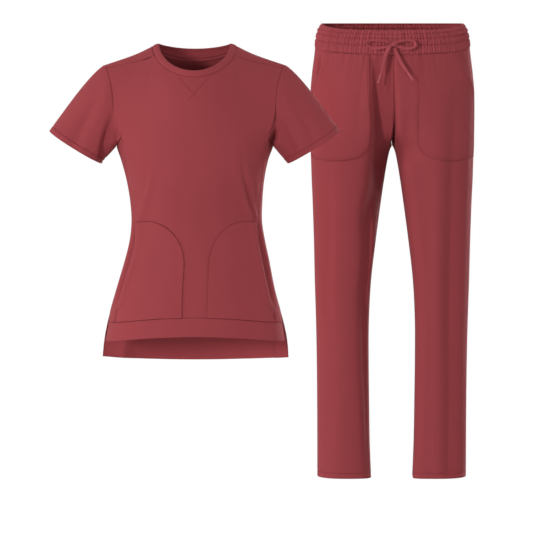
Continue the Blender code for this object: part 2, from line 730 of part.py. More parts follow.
def leg_panel(side, front):
    """The surface of one leg panel; u runs from its first edge to its second, v up its levels."""
    levels = ["hem"] + LEG_LEVELS + ["waist"]

    def surface(u, v):
        low = min(len(levels) - 2, max(0, int(v)))
        guess = -90 * (1 - u) if front else 90 * u
        z_low, z_high = leg_height(levels[low], guess), leg_height(levels[low + 1], guess)
        z = z_low + (z_high - z_low) * (v - low)
        reach = inner_angle(z) - SEAM_ANGLE
        if front:
            return leg(-reach * (1 - u) - SEAM_ANGLE * u, z, side)
        return leg(SEAM_ANGLE * (1 - u) + reach * u, z, side)

    return surface, list(range(len(levels)))


def make_legs(parent):
    """Front and back of each leg, joined at the sides, the inseams and the centre seams."""
    for side, name in ((1, "right"), (-1, "left")):
        for front in (True, False):
            surface, up = leg_panel(side, front)
            columns = FRONT_LEG_COLUMNS if front else BACK_LEG_COLUMNS
            cloth("leg_%s_%s" % ("front" if front else "back", name), surface, steps(0, 1, columns),
                  up, TROUSER_COLOUR, parent, mirror=side < 0,
                  wall=lambda u, v: DOUBLED - 0.4 if v < 0.5 else CLOTH)


# ---------------------------------------------------------------- waistband

GATHERS = 148
GATHER_DEPTH = 0.9
BAND_WALL = 3.4             # four layers over the elastic, at a gather's ridge
# part of the way up, half width, front depth, back depth of the waistband
WAISTBAND = [
    (0.0, 171.6, 95.6, 93.6),
    (0.39, 169.0, 94.0, 92.0),
    (0.65, 166.0, 92.0, 90.0),
    (0.84, 162.6, 89.5, 88.0),
    (1.0, 155.5, 85.5, 84.0),
]


def waistband(turn, part):
    """The elastic waistband; turn counts half gathers, ridges at even numbers."""
    angle = 360 * turn / (2 * GATHERS) + 0.35 * math.sin(math.radians(turn * 41))
    half_width, front, back = read(WAISTBAND, part)
    c, s = math.cos(math.radians(angle)), math.sin(math.radians(angle))
    ridge = math.cos(math.pi * turn)
    wave = GATHER_DEPTH * (0.8 + 0.2 * math.sin(math.radians(turn * 67 + 30)))
    low, high = waist_height(WAIST_SEAM, angle), waist_height(WAIST_EDGE, angle)
    out = Vector((full(c), full(s), 0))
    base = Vector((half_width * full(c), (front if s < 0 else back) * full(s), low + (high - low) * part))
    return base + out * wave * ridge


def make_waistband(parent):
    """The gathered waistband, doubled over its elastic."""
    def level(u, v, out):
        angle = math.radians(360 * u / (2 * GATHERS))
        return Vector((math.cos(angle) * 0.6, math.sin(angle), 0)).normalized()

    cloth("waistband", waistband, list(range(2 * GATHERS)), [row[0] for row in WAISTBAND],
          TROUSER_COLOUR, parent, wall=BAND_WALL, ring=True, bend=level, inner_step=4)


# ---------------------------------------------------------------- trouser pockets

POCKET_LEFT = 53.0          # inner edge of the pocket from the centre front
POCKET_UNDER_BAND = 1.2     # gap between the pocket's top and the waistband's seam
SLANT_LIFT = 2.5            # how far the slanted opening stands off the leg
# along the bottom edge from the inner edge to the side seam: part, x, z
POCKET_BOTTOM = [
    (0.0, 53.0, -212.0), (0.14, 57.0, -232.0), (0.28, 70.0, -247.0), (0.45, 95.0, -256.0),
    (0.7, 136.0, -259.5), (1.0, 177.6, -253.5),
]
# up the outer edge: part, share of the leg's width from its centre, z
POCKET_SIDE = [
    (0.0, 0.978, -253.5), (0.3, 0.978, -180.0), (0.58, 0.978, -108.0), (0.8, 0.895, -66.0),
    (1.0, 0.82, -19.5),
]


def leg_pocket(side):
    """One trouser pocket: its surface, u from the inner edge out and v upward, and its direction off the leg."""
    def place(x, z):
        centre, half_width, _, _ = leg_section(z)
        return Vector((angle_of((x - centre) / half_width), 0, z))

    def bottom(k):
        return place(*read(POCKET_BOTTOM, k))

    def outer(k):
        share, z = read(POCKET_SIDE, k)
        return Vector((angle_of(share), 0, z))

    def top(k):
        z = waist_height(WAIST_SEAM, -90) - POCKET_UNDER_BAND
        inner_angle = place(POCKET_LEFT, z).x
        angle = inner_angle + (outer(1).x - inner_angle) * k
        return Vector((angle, 0, waist_height(WAIST_SEAM, -angle) - POCKET_UNDER_BAND))

    def inner(k):
        return place(POCKET_LEFT, bottom(0).z + (top(0).z - bottom(0).z) * k)

    def surface(u, v):
        at = patch(u, v, bottom, top, inner, outer)
        return leg(-at.x, at.z, side)

    def off(u, v, _):
        at = patch(u, v, bottom, top, inner, outer)
        return outward(lambda angle, z: leg(angle, z, side), -at.x, at.z, 0.05)

    return surface, off


def make_leg_pockets(parent):
    """Two patch pockets with slanted openings, laid on the leg fronts."""
    def lift(u, v):
        slant = smooth((u - 0.7) / 0.3) * smooth((v - 0.5) / 0.2) * smooth((1 - v) / 0.2)
        return LAID + 0.5 * u + SLANT_LIFT * slant

    for side, name in ((1, "right"), (-1, "left")):
        surface, off = leg_pocket(side)
        cloth("leg_pocket_" + name, surface, steps(0, 1, POCKET_CELLS + 1), steps(0, 1, POCKET_CELLS + 1),
              TROUSER_COLOUR, parent, mirror=side < 0, lift=lift, bend=off)


# ---------------------------------------------------------------- drawstring

CORD_DIAMETER = 5.0
KNOT_AT = (0.0, -100.4, -3.4)
KNOT_SIZE = (9.5, 5.2, 7.5)
AGLET_DIAMETER = 3.2
AGLET_LENGTH = 21.0
LEFT_LOOP = [(-8.9, -100.7, -0.6), (-20, -100.2, 3.6), (-38, -99.6, 5.4), (-52, -99.2, 4.9),
             (-58.6, -99.0, 0.4), (-56.5, -99.1, -6.6), (-46, -99.6, -11.4), (-34, -100.1, -12.4),
             (-20, -100.4, -9.8), (-8.9, -100.7, -6.6)]
RIGHT_LOOP = [(8.9, -100.7, -0.6), (18, -100.3, 3.4), (29, -99.8, 5.4), (39, -99.4, 4.8),
              (46.4, -99.2, 0.2), (45.8, -99.2, -7.0), (37.5, -99.6, -12.2), (27, -100.2, -12.6),
              (18, -100.5, -9.8), (8.9, -100.8, -6.6)]
LEFT_TAIL = [(-6.7, -106.2, -6.6), (-11.6, -107.0, -11.0), (-15.8, -106.2, -18), (-18.5, -104.0, -27),
             (-20.3, -104.6, -36), (-22.8, -106.4, -46), (-25.6, -108.4, -56), (-29.4, -110.6, -68.6)]
RIGHT_TAIL = [(1.0, -104.2, -10.9), (3.8, -106.6, -18.6), (7.8, -107.8, -27), (12, -108.8, -36),
              (17, -111.0, -45.5), (23, -113.8, -55), (30.4, -116.6, -65.8)]


def cord(name, route, parent, points=16):
    """A cord as a round tube along a smooth curve through its route."""
    table = [(float(n), *point) for n, point in enumerate(route)]
    curve = bpy.data.curves.new(name, "CURVE")
    curve.dimensions = "3D"
    curve.bevel_depth = CORD_DIAMETER / 2 * MM
    curve.bevel_resolution = 2
    curve.render_resolution_u = 0
    curve.use_fill_caps = True
    spline = curve.splines.new("POLY")
    spline.points.add(points - 1)
    for point, at in zip(spline.points, steps(0, len(route) - 1, points - 1)):
        point.co = (*(Vector(read(table, at)) * MM), 1.0)
    piece = bpy.data.objects.new(name, curve)
    piece.parent = parent
    bpy.context.collection.objects.link(piece)
    curve.materials.append(dyed(name, CORD_COLOUR))
    return piece


def aglet(name, tail, parent):
    """The hard tip on a tail's end, in line with the tail."""
    end, before = Vector(tail[-1]), Vector(tail[-2])
    run = (end - before).normalized()
    mesh = bpy.data.meshes.new(name)
    tip = bmesh.new()
    bmesh.ops.create_cone(tip, cap_ends=True, segments=12, radius1=AGLET_DIAMETER / 2 * MM,
                          radius2=AGLET_DIAMETER / 2 * MM, depth=AGLET_LENGTH * MM)
    tip.to_mesh(mesh)
    tip.free()
    piece = add_object(name, mesh, AGLET_COLOUR, parent, roughness=0.5)
    piece.rotation_euler = run.to_track_quat("Z", "Y").to_euler()
    piece.location = (end + run * (AGLET_LENGTH / 2 + SEAM)) * MM


def make_drawstring(parent):
    """The tied drawstring: a knot, two loops and two tails with tips."""
    mesh = bpy.data.meshes.new("drawstring_knot")
    knot = bmesh.new()
    bmesh.ops.create_uvsphere(knot, u_segments=14, v_segments=9, radius=1.0)
    for vertex in knot.verts:
        vertex.co = Vector([c * size for c, size in zip(vertex.co, KNOT_SIZE)]) * MM
    knot.to_mesh(mesh)
    knot.free()
    add_object("drawstring_knot", mesh, CORD_COLOUR, parent).location = Vector(KNOT_AT) * MM
    for name, route in (("loop_left", LEFT_LOOP), ("loop_right", RIGHT_LOOP),
                        ("tail_left", LEFT_TAIL), ("tail_right", RIGHT_TAIL)):
        cord("drawstring_" + name, route, parent)
    aglet("aglet_left", LEFT_TAIL, parent)
    aglet("aglet_right", RIGHT_TAIL, parent)


# ---------------------------------------------------------------- both garments

for old in list(bpy.data.objects):
    bpy.data.objects.remove(old)

top = garment("top", (0.0, 0.0, 0.0))
make_body(top)
make_hem_band(top)
make_neck(top)
make_sleeves(top)
make_top_pockets(top)

trousers = garment("trousers", TROUSERS_AT)
make_legs(trousers)
make_waistband(trousers)
make_leg_pockets(trousers)
make_drawstring(trousers)
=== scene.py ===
"""The looks of a medical scrub set: a short-sleeved top and drawstring trousers, hollow, as worn.

Each section makes one cut piece of cloth as a thin shell on its solid's form, in assembly order.
Lengths are in millimetres and angles in degrees, unless a name says otherwise.
"""
import math

import bpy
import numpy as np
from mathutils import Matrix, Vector
from mathutils.bvhtree import BVHTree


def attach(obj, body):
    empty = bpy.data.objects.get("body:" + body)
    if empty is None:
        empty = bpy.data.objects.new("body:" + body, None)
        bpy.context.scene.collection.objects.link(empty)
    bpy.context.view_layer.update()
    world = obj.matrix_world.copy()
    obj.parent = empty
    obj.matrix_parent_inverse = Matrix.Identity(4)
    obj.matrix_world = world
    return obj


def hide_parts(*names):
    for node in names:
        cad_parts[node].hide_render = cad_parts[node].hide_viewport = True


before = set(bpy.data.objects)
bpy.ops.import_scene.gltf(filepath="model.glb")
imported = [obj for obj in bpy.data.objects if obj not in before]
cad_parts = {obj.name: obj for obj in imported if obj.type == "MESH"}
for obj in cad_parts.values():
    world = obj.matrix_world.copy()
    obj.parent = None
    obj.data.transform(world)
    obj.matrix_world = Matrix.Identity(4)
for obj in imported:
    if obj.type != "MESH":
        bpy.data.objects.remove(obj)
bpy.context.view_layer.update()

# ---------------------------------------------------------------- camera, floor and light
# A long lens nine metres off looks a little down on both fronts. The floor is a plain pale sheet. The light
# is soft: boxes in front, at both sides and behind, a small key from the left front that draws the folds, and
# a white room that glows behind. All its sizes are in metres.

AIM = Vector((0.1566, 0, -0.4888))
CAMERA_DISTANCE = 9
CAMERA_TILT = math.radians(3.5)
FRAME_WIDTH = 1.16727        # what the frame takes in at the aim point
SENSOR = 36

camera = bpy.data.objects.new("camera", bpy.data.cameras.new("camera"))
camera.data.sensor_width = SENSOR
camera.data.lens = SENSOR * CAMERA_DISTANCE / FRAME_WIDTH
camera.data.clip_end = 200
back_off = Vector((0, -math.cos(CAMERA_TILT), math.sin(CAMERA_TILT)))
camera.location = AIM + back_off * CAMERA_DISTANCE
camera.rotation_euler = (-back_off).to_track_quat("-Z", "Y").to_euler()
bpy.context.scene.collection.objects.link(camera)
bpy.context.scene.camera = camera
bpy.context.scene.view_settings.view_transform = "Standard"


def linear(colour):
    """An sRGB hex colour as linear RGBA."""
    parts = [int(colour[i:i + 2], 16) / 255 for i in (1, 3, 5)]
    return (*[p / 12.92 if p <= 0.04045 else ((p + 0.055) / 1.055) ** 2.4 for p in parts], 1)


def node(tree, kind, inputs=None, **settings):
    """Adds a node with its settings; an input is given a value, or a socket to link."""
    made = tree.nodes.new(kind)
    for name, value in settings.items():
        setattr(made, name, value)
    for name, value in (inputs or {}).items():
        if isinstance(value, bpy.types.NodeSocket):
            tree.links.new(value, made.inputs[name])
        else:
            made.inputs[name].default_value = value
    return made


def soft_box(name, at, size, watts, only=None):
    """A large area light aimed at the middle of the set; only names the garment that it lights."""
    lamp = bpy.data.objects.new(name, bpy.data.lights.new(name, "AREA"))
    lamp.data.shape = "RECTANGLE"
    lamp.data.size, lamp.data.size_y = size
    lamp.data.energy = watts
    lamp.location = at
    lamp.rotation_euler = (AIM - Vector(at)).to_track_quat("-Z", "Y").to_euler()
    bpy.context.scene.collection.objects.link(lamp)
    if only:
        lamp.light_linking.receiver_collection = only
        lamp.light_linking.blocker_collection = only


# Each garment has lights of its own, as when the two are lit one after the other: the front box's height, size
# upward and watts, the key's height, size and watts, and the right box's watts.
GARMENT_LIGHTS = dict(top=(-0.5, 1.4, 80, 0.3, 0.9, 156, 50), trousers=(0.3, 2.6, 52, 0.9, 0.4, 198, 12))
TALL_BOX = (1.6, 3.2)
garments = {}
for name, (front_at, front_tall, front_power, key_at, key_size, key_power, right_power) in GARMENT_LIGHTS.items():
    garment = garments[name] = bpy.data.collections.new(name)
    bpy.context.scene.collection.children.link(garment)
    for light, at, size, power in (
            ("front_", (0.9, -5.8, front_at), (3.4, front_tall), front_power),
            ("key_", (-3.2, -5, key_at), (key_size, key_size), key_power),
            ("left_", (-4.8, -0.9, 0), TALL_BOX, 106), ("fill_", (4.2, -1.6, 0.2), TALL_BOX, 27),
            ("right_", (4.6, 1.7, 0.3), TALL_BOX, right_power), ("rim_", (3.4, 4.8, 0.4), (1.2, 3.2), 110)):
        soft_box(light + name, at, size, power, garment)
soft_box("behind", (1, 5.6, 0.9), (3, 3), 90)


def white_when_seen(data, kind, output, strength):
    """Makes a white glow of a strength, which the camera sees as plain white."""
    seen, felt = [node(data.node_tree, kind, {"Color": linear("#FFFFFF"), "Strength": s}) for s in (1, strength)]
    ray = node(data.node_tree, "ShaderNodeLightPath").outputs["Is Camera Ray"]
    which = node(data.node_tree, "ShaderNodeMixShader", {0: ray, 1: felt.outputs[0], 2: seen.outputs[0]})
    node(data.node_tree, output, {"Surface": which.outputs[0]})


# The room is dim in front, bright behind and a little brighter overhead.
DIM, BRIGHT, OVERHEAD = 0.17, 0.85, 0.26
world = bpy.context.scene.world = bpy.data.worlds.new("studio")
world.use_nodes = True
tree = world.node_tree
tree.nodes.clear()
facing = node(tree, "ShaderNodeSeparateXYZ", {0: node(tree, "ShaderNodeTexCoord").outputs["Generated"]})
glow = node(tree, "ShaderNodeMapRange", {"Value": facing.outputs["Y"], "From Min": -0.3, "From Max": 0.6,
                                         "To Min": DIM, "To Max": BRIGHT}).outputs[0]
overhead = node(tree, "ShaderNodeMath", {0: facing.outputs["Z"], 1: 0}, operation="MAXIMUM").outputs[0]
strength = node(tree, "ShaderNodeMath", {0: overhead, 1: OVERHEAD, 2: glow}, operation="MULTIPLY_ADD").outputs[0]
white_when_seen(world, "ShaderNodeBackground", "ShaderNodeOutputWorld", strength)

FLOOR_HEIGHT, FLOOR_REACH, FLOOR_GLOW = -1.3, 60, 0.42
sheet = bpy.data.meshes.new("studio_floor")
corners = [(x * FLOOR_REACH, y * FLOOR_REACH, FLOOR_HEIGHT) for x, y in ((-1, -1), (1, -1), (1, 1), (-1, 1))]
sheet.from_pydata(corners, [], [(0, 1, 2, 3)])
floor = bpy.data.objects.new("studio_floor", sheet)
bpy.context.scene.collection.objects.link(floor)
paper = bpy.data.materials.new("seamless_paper_rolled_out")
paper.use_nodes = True
paper.node_tree.nodes.clear()
white_when_seen(paper, "ShaderNodeEmission", "ShaderNodeOutputMaterial", FLOOR_GLOW)
floor.data.materials.append(paper)

# ---------------------------------------------------------------- front of the top
# The real front is one piece of stretch-woven polyester and elastane, cut and dyed in one lot. It is
# closed to the side panels and the sleeves with overlocked seams, which pull a fine groove between pieces.

SQUARENESS = 0.87            # below 1 the sections are fuller than an ellipse
SEAM_ANGLE = 0.08            # half the gap at a seam, as an angle round the body
CLOTH = 1.2
MM = 0.001
# height, half width, front depth, back depth, sideways shift, angle of the front side seam
BODY = [
    (-203, 176, 111, 105, 0, 28),
    (-225, 171.4, 114, 106, 0, 26),
    (-256, 160.6, 119, 105, -0.3, 22),
    (-300, 150.4, 121, 100, 1.2, 16.5),
    (-345, 144.8, 111, 94, 3, 15.5),
    (-390, 143, 101, 91, 4, 18),
    (-430, 148, 98, 94, 5.2, 20.5),
    (-475, 158.2, 101, 101, 4.5, 22.5),
    (-540, 174.2, 108, 112, 1.2, 23.5),
    (-606, 192.5, 114, 121, 0.8, 23.5),
    (-650, 202.4, 117, 125, 0.3, 23.5),
    (-704, 207.6, 119, 127, -0.3, 23.5),
]
# from x, from z, to x, to z, width to the left, width to the right, depth of each soft trough
FRONT_FOLDS = [
    (-92, -262, -124, -386, 15, 15, 4),
    (-122, -300, -133, -388, 10, 10, 2.5),
    (100, -278, 122, -386, 15, 15, 4.5),
    (124, -305, 134, -390, 10, 10, 2.5),
    (10, -352, 74, -520, 34, 34, 2.4),
    (-60, -420, -92, -560, 22, 22, 2),
    (96, -430, 124, -575, 20, 20, 2.5),
]
BACK_FOLDS = [
    (-88, -270, -118, -400, 18, 18, 4),
    (84, -290, 116, -395, 16, 16, 4),
    (-30, -330, 36, -388, 16, 16, 3),
    (48, -380, -24, -430, 15, 15, 3),
    (-64, -480, -80, -690, 26, 26, 5),
    (52, -500, 66, -690, 28, 28, 5),
    (-150, -600, -158, -760, 12, 16, 1.6),
    (150, -600, 156, -760, 14, 12, 4),
    (180, -600, 186, -760, 8, 7, 5),
    (120, -570, 132, -760, 14, 14, 4),
]
ARM_LEVEL, UNDERARM = -203, -225
BACK_SEAM = 4                # angle of the seam between side panel and back
VENT_TOP, VENT_INSET = -578, 6.5
HEM_SEAM = (-593.7, -17)     # height at the middle, and change to the side


def read(table, at):
    """Every column of a table after the first, read smoothly at values of the first."""
    rows = np.array(sorted(table), float)
    keys, values = rows[:, 0], rows[:, 1:]
    slopes = np.empty_like(values)
    slopes[1:-1] = (values[2:] - values[:-2]) / (keys[2:] - keys[:-2])[:, None]
    for end, other in ((0, 1), (-1, -2)):
        slopes[end] = (values[end] - values[other]) / (keys[end] - keys[other])
    at = np.asarray(at, float)
    low = np.clip(np.searchsorted(keys, at, side="right") - 1, 0, len(keys) - 2)
    step = (keys[low + 1] - keys[low])[..., None]
    t = (at - keys[low])[..., None] / step
    k = np.clip(t, 0, 1)
    value = ((2 * k ** 3 - 3 * k ** 2 + 1) * values[low] + (k ** 3 - 2 * k ** 2 + k) * step * slopes[low]
             + (3 * k ** 2 - 2 * k ** 3) * values[low + 1] + (k ** 3 - k ** 2) * step * slopes[low + 1])
    value += np.minimum(t, 0) * step * slopes[low] + np.maximum(t - 1, 0) * step * slopes[low + 1]
    return np.moveaxis(value, -1, 0)


def point(x, y, z):
    """Places in space from arrays of their three parts."""
    return np.stack(np.broadcast_arrays(x, y, z), -1)


def turned(angle):
    """The cosine and sine of an angle in degrees."""
    return np.cos(np.radians(angle)), np.sin(np.radians(angle))


def full(value):
    """A sine or cosine made fuller than a circle's, its sign kept."""
    return np.sign(value) * np.abs(value) ** SQUARENESS


def smooth(t):
    """A ramp from 0 to 1 with soft ends."""
    t = np.clip(t, 0, 1)
    return t * t * (3 - 2 * t)


def bump(distance, width):
    """A bell of height 1 round distance 0."""
    return np.exp(-(distance / width) ** 2)


def fold_depth(folds, x, z):
    """How far the troughs of a table press the cloth in at a place."""
    depth = 0
    for from_x, from_z, to_x, to_z, left, right, deep in folds:
        run_x, run_z = to_x - from_x, to_z - from_z
        length = math.hypot(run_x, run_z)
        along = ((x - from_x) * run_x + (z - from_z) * run_z) / length ** 2
        aside = ((z - from_z) * run_x - (x - from_x) * run_z) / length
        fade = np.sin(np.pi * np.clip((along + 0.2) / 1.4, 0, 1)) ** 2
        depth = depth + deep * fade * bump(aside, np.where(aside < 0, left, right))
    return depth


def winding_depth(folds, x, z):
    """The same for troughs that wind: each is a table of height, x, widths to the left and right, depth."""
    depth = 0
    for table in folds:
        centre, left, right, deep = read(table, z)
        inside = (z > min(row[0] for row in table)) & (z < max(row[0] for row in table))
        depth = depth + np.where(inside, deep * bump(x - centre, np.where(x < centre, left, right)), 0)
    return depth


# Troughs (ridges where the depth is below 0) that the front is drawn into between the chest and the pockets.
FRONT_WINDING = [
    [(-140, -122, 20, 20, 0), (-200, -118, 22, 22, -2), (-260, -112, 20, 20, -2.4), (-343, -108, 18, 15, -2),
     (-388, -118, 14, 12, -1.5), (-450, -128, 16, 14, -1), (-540, -140, 16, 16, 0)],
    [(-230, -82, 6, 12, 0), (-280, -92, 5, 11, -3.6), (-324, -105, 4, 10, -5.6), (-350, -113, 4, 9, -6.4),
     (-394, -125, 4, 8, -5.4), (-430, -132, 5, 8, 0)],
    [(-140, 112, 20, 20, 0), (-200, 104, 22, 22, -1.2), (-260, 96, 20, 16, -1.2), (-343, 96, 16, 16, 0)],
    [(-240, 88, 12, 6, 0), (-300, 100, 11, 4.5, -5.5), (-350, 111, 10, 4, -7.5), (-394, 122, 8, 3.6, -6.6),
     (-430, 131, 7, 4, 0)],
    [(-235, 106, 8, 5, 0), (-289, 117, 6, 4, -4.8), (-340, 124, 5, 3.6, -5.8), (-383, 131, 4, 3.4, -4),
     (-408, 135, 5, 4, 0)],
]
GAPE_ANGLE, GAPE_WIDTH, GAPE_DEPTH = 19, 4.6, 13     # the hollow beside each pocket's opening


def gape(angle, z):
    """How far the cloth beside a pocket's opening sinks in."""
    aside = np.abs((angle + 180) % 360 - 180)
    aside = np.minimum(aside, 180 - aside)
    height = smooth((-378 - z) / 34) * smooth((z + 586) / 60)
    return GAPE_DEPTH * bump(aside - GAPE_ANGLE, GAPE_WIDTH) * height


def vent_inset(z):
    """How far the front is drawn in beside the vents."""
    return VENT_INSET * smooth((VENT_TOP - z) / 60)


def body(angle, z, front_piece=True, gaping=True):
    """The top's body at an angle (0 at the right side, -90 in front) and a height."""
    half_width, front, back = read(BODY, z)[:3]
    if front_piece:
        half_width = half_width - vent_inset(z)
    c, s = turned(angle)
    x = half_width * full(c)
    in_front = fold_depth(FRONT_FOLDS, x, z) + winding_depth(FRONT_WINDING, x, z)
    if gaping:
        in_front = in_front + gape(angle, z)
    depth = np.where(s < 0, in_front, fold_depth(BACK_FOLDS, x, z))
    return point(x - c * depth, np.where(s < 0, front, back) * full(s) - s * depth, z)


def hem(levels, angle):
    """The height of a hem line at an angle round the body."""
    return levels[0] + levels[1] * np.abs(turned(angle)[0]) ** (2 * SQUARENESS)


# station, across, forward (-) or back (+), height: the right armhole, from the front side seam over the
# shoulder and down to the side panel's back seam
ARMHOLE = [
    (0, *body(-28, ARM_LEVEL)),
    (1, 166.5, -57.5, -187),
    (2, 174, -55.5, -160),
    (3, 176.8, -52, -128),
    (4, 181.5, -41, -88),
    (5, 192, -14, -55),
    (6, 195.5, 3.5, -48),
    (7, 190.5, 27, -60),
    (8, 183.5, 46, -88),
    (9, 178.5, 56, -125),
    (10, 175.8, 58.5, -160),
    (11, 173, 52, -192),
    (12, 172, 33, -214),
    (13, *body(BACK_SEAM, UNDERARM + 1.4)),
]
SEAM_STATION, RIDGE_STATION, BACK_STATION = 5, 6, 13
UNDERARM_STATIONS, LOWEST_STATION = 2, -1.6
# half width, front, back, top, front drop, back drop of the neckline's seam
NECK_SEAM = (92, 80, 66, -7, 66, 24)
NECK_SHOULDER = 19           # angle forward of the neck's side where the shoulder seam ends
# part of the way from neck to arm, across, forward, height
SHOULDER = [(0, 92, 0, -7), (0.33, 124, 1.5, -22.5), (0.66, 160, 2.5, -36),
            (1, *ARMHOLE[6][1:])]
SHOULDER_SEAM = [(0, 87, -26, -27), (0.33, 121, -24, -39), (0.66, 157, -18.5, -46.5),
                 (1, *ARMHOLE[5][1:])]
NECK_PART = 0.625            # share of a panel's width that its neckline takes
NECK_DROP_BEND = (1.08, 1.6) # how sharply the neckline drops in front and behind: 1 is even
SOFT_REACH, SOFT_FALL, SOFT_SAMPLES = 0.34, 3.2, 11        # of the average that takes the neck's corners off
SIDE_FADE = 3                # how fast the armholes' curve fades into the chest
CORNER_FADE = 6              # and the corners at the neck
CHEST_FULLNESS, BACK_FULLNESS = -5, 10     # how far each stands out behind (+) or in front (-) between its borders


def armhole(station):
    """The right armhole; stations below 0 run along the side panel's top edge."""
    station = np.asarray(station, float)
    over = point(*read(ARMHOLE, np.maximum(station, 0)))
    t = -np.minimum(station, 0) / UNDERARM_STATIONS
    rise = ((np.minimum(station, 0) - LOWEST_STATION) / LOWEST_STATION) ** 2
    z = UNDERARM + (ARM_LEVEL - UNDERARM) * rise
    front_seam = read(BODY, z)[4] * (1 - t) + read(BODY, ARM_LEVEL)[4] * t
    under = body(-front_seam * (1 - t) + BACK_SEAM * t, z)
    return np.where((station >= 0)[..., None], over, under)


def neckline(curve, angle):
    """A line round the neck, higher at the back."""
    half_width, front, back, top, front_drop, back_drop = curve
    c, s = turned(angle)
    bend = NECK_DROP_BEND
    drop = np.where(s < 0, front_drop * np.abs(s) ** bend[0], back_drop * np.abs(s) ** bend[1])
    return point(half_width * c, np.where(s < 0, front, back) * s, top - drop)


def shoulder_seam(part):
    """The forward shoulder seam, from the neck to the arm."""
    start = neckline(NECK_SEAM, -NECK_SHOULDER) - np.array(SHOULDER_SEAM[0][1:])
    return point(*read(SHOULDER_SEAM, part)) + start * ((1 - part) ** 2)[..., None]


def flip(points):
    """The same places on the left side."""
    return points * np.array((-1, 1, 1))


def top_edge(u, seam_line, neck_angle):
    """A panel's top border: a shoulder, the neckline and the other shoulder; u is +1 at the right."""
    part = (np.abs(u) - NECK_PART) / (1 - NECK_PART)
    shoulder = seam_line(np.maximum(part, 0))
    shoulder = np.where((u > 0)[..., None], shoulder, flip(shoulder))
    neck = neckline(NECK_SEAM, neck_angle(np.clip(u / NECK_PART, -1, 1)))
    return np.where((part <= 0)[..., None], neck, shoulder)


def soft_edge(edge, u):
    """A panel's top border with its corners at the neck taken off, for the cloth further down."""
    reach = SOFT_REACH * smooth((1 - np.abs(u)) / 0.3)
    weights = [(d, math.exp(-SOFT_FALL * d * d)) for d in np.linspace(-1, 1, SOFT_SAMPLES)]
    total = sum(w for _, w in weights)
    return sum(edge(u + d * reach) * (w / total) for d, w in weights)


def patch(s, t, bottom, top, left, right, fade=1):
    """A surface filled in between four border curves, a side's bend fading towards the other side."""
    k = t[..., None]
    bend = [side(t) - (side(np.float64(0)) * (1 - k) + side(np.float64(1)) * k) for side in (left, right)]
    return (bottom(s) * (1 - k) + top(s) * k
            + bend[0] * ((1 - s) ** fade)[..., None] + bend[1] * (s ** fade)[..., None])


def chest_panel(u, v, section, bottom, top, edge, left, right, fullness):
    """A panel in sections up to the armholes' level, where v is 1, and filled in between its borders to v = 2."""
    lower, arm_row = section(bottom + (top - bottom) * np.minimum(v, 1)), section(np.full_like(u, top))
    t = np.clip(v - 1, 0, 1)
    softened = soft_edge(edge, u)
    upper = patch((u + 1) / 2, t, lambda s: arm_row, lambda s: softened, left, right, SIDE_FADE)
    upper = upper + (edge(u) - softened) * (t ** CORNER_FADE)[..., None]
    upper = upper + point(0, fullness * np.sin(np.pi * t) * (1 - u * u), 0)
    return np.where((v <= 1)[..., None], lower, upper)


def front_panel(u, v):
    """The front: v runs 0 to 1 up to the armholes, and on to 2 at the shoulders and neck."""
    def section(z):
        return body(-90 + u * (90 - read(BODY, z)[4] - SEAM_ANGLE), z)

    def edge(place):
        return top_edge(place, shoulder_seam, lambda n: -90 + n * (90 - NECK_SHOULDER))

    bottom = hem(HEM_SEAM, -90 + u * (90 - read(BODY, ARM_LEVEL)[4]))
    return chest_panel(u, v, section, bottom, ARM_LEVEL, edge, lambda k: flip(armhole(SEAM_STATION * k)),
                       lambda k: armhole(SEAM_STATION * k), CHEST_FULLNESS)


def unit(vectors):
    """The same directions, each one long."""
    return vectors / np.maximum(np.linalg.norm(vectors, axis=-1, keepdims=True), 1e-9)


def spaced(length, step, fine=(), reach=5, small=0.8):
    """Places from 0 to length, a step apart, with small steps within reach of each fine place."""
    places = [0.0]
    while places[-1] < length - small / 2:
        here = places[-1]
        near = any(abs(here + small / 2 - f) < reach for f in fine)
        ahead = [f - reach - here for f in fine if f - reach > here + 1e-6]
        places.append(here + (small if near else min([step] + ahead)))
    places[-1] = length
    return np.array(places)


def shares(length, step, fine=None, reach=5, small=0.8):
    """The same places as shares of the length; both ends are fine unless it says otherwise."""
    return spaced(length, step, (0, length) if fine is None else fine, reach, small) / length


def grid(face, across, up):
    """Points of a surface in rows upward."""
    return face(*np.meshgrid(across, up))


def outward(points, ring=False):
    """The direction square to a grid of points."""
    side = np.roll(points, -1, 1) - np.roll(points, 1, 1) if ring else np.gradient(points, axis=1)
    return unit(np.cross(side, np.gradient(points, axis=0)))


def run(points, axis):
    """Lengths along a grid's rows (axis 1) or columns (axis 0), from its first point."""
    pieces = np.linalg.norm(np.diff(points, axis=axis), axis=2)
    return np.insert(np.cumsum(pieces, axis=axis), 0, 0, axis=axis)


EASED_ROWS, KEPT_COLUMNS, EASING_PASSES = 9, 8, 140        # how far from the row, how far from a side, how often


def eased(points, row):
    """Takes the ridge out of a panel round one row, its borders kept."""
    points = points.copy()
    rows, columns = points.shape[:2]
    weight = 0.5 * bump(np.arange(rows) - row, EASED_ROWS)[1:-1, None, None]
    from_side = np.minimum(np.arange(columns), np.arange(columns)[::-1])
    weight = weight * smooth(from_side / KEPT_COLUMNS)[None, :, None]
    for _ in range(EASING_PASSES):
        points[1:-1] += weight * ((points[:-2] + points[2:]) / 2 - points[1:-1])
    return points


RIM_ROUND = 0.35             # how far a cut edge bulges, as a share of the cloth's thickness
ROLL = (0, 1.4, 0.55)        # a seam's edge: how far in from it, half width, depth of the groove
SOFT_ROLL = (0, 1.2, 0.3)
DEEP_ROLL = (0, 2, 1.5)


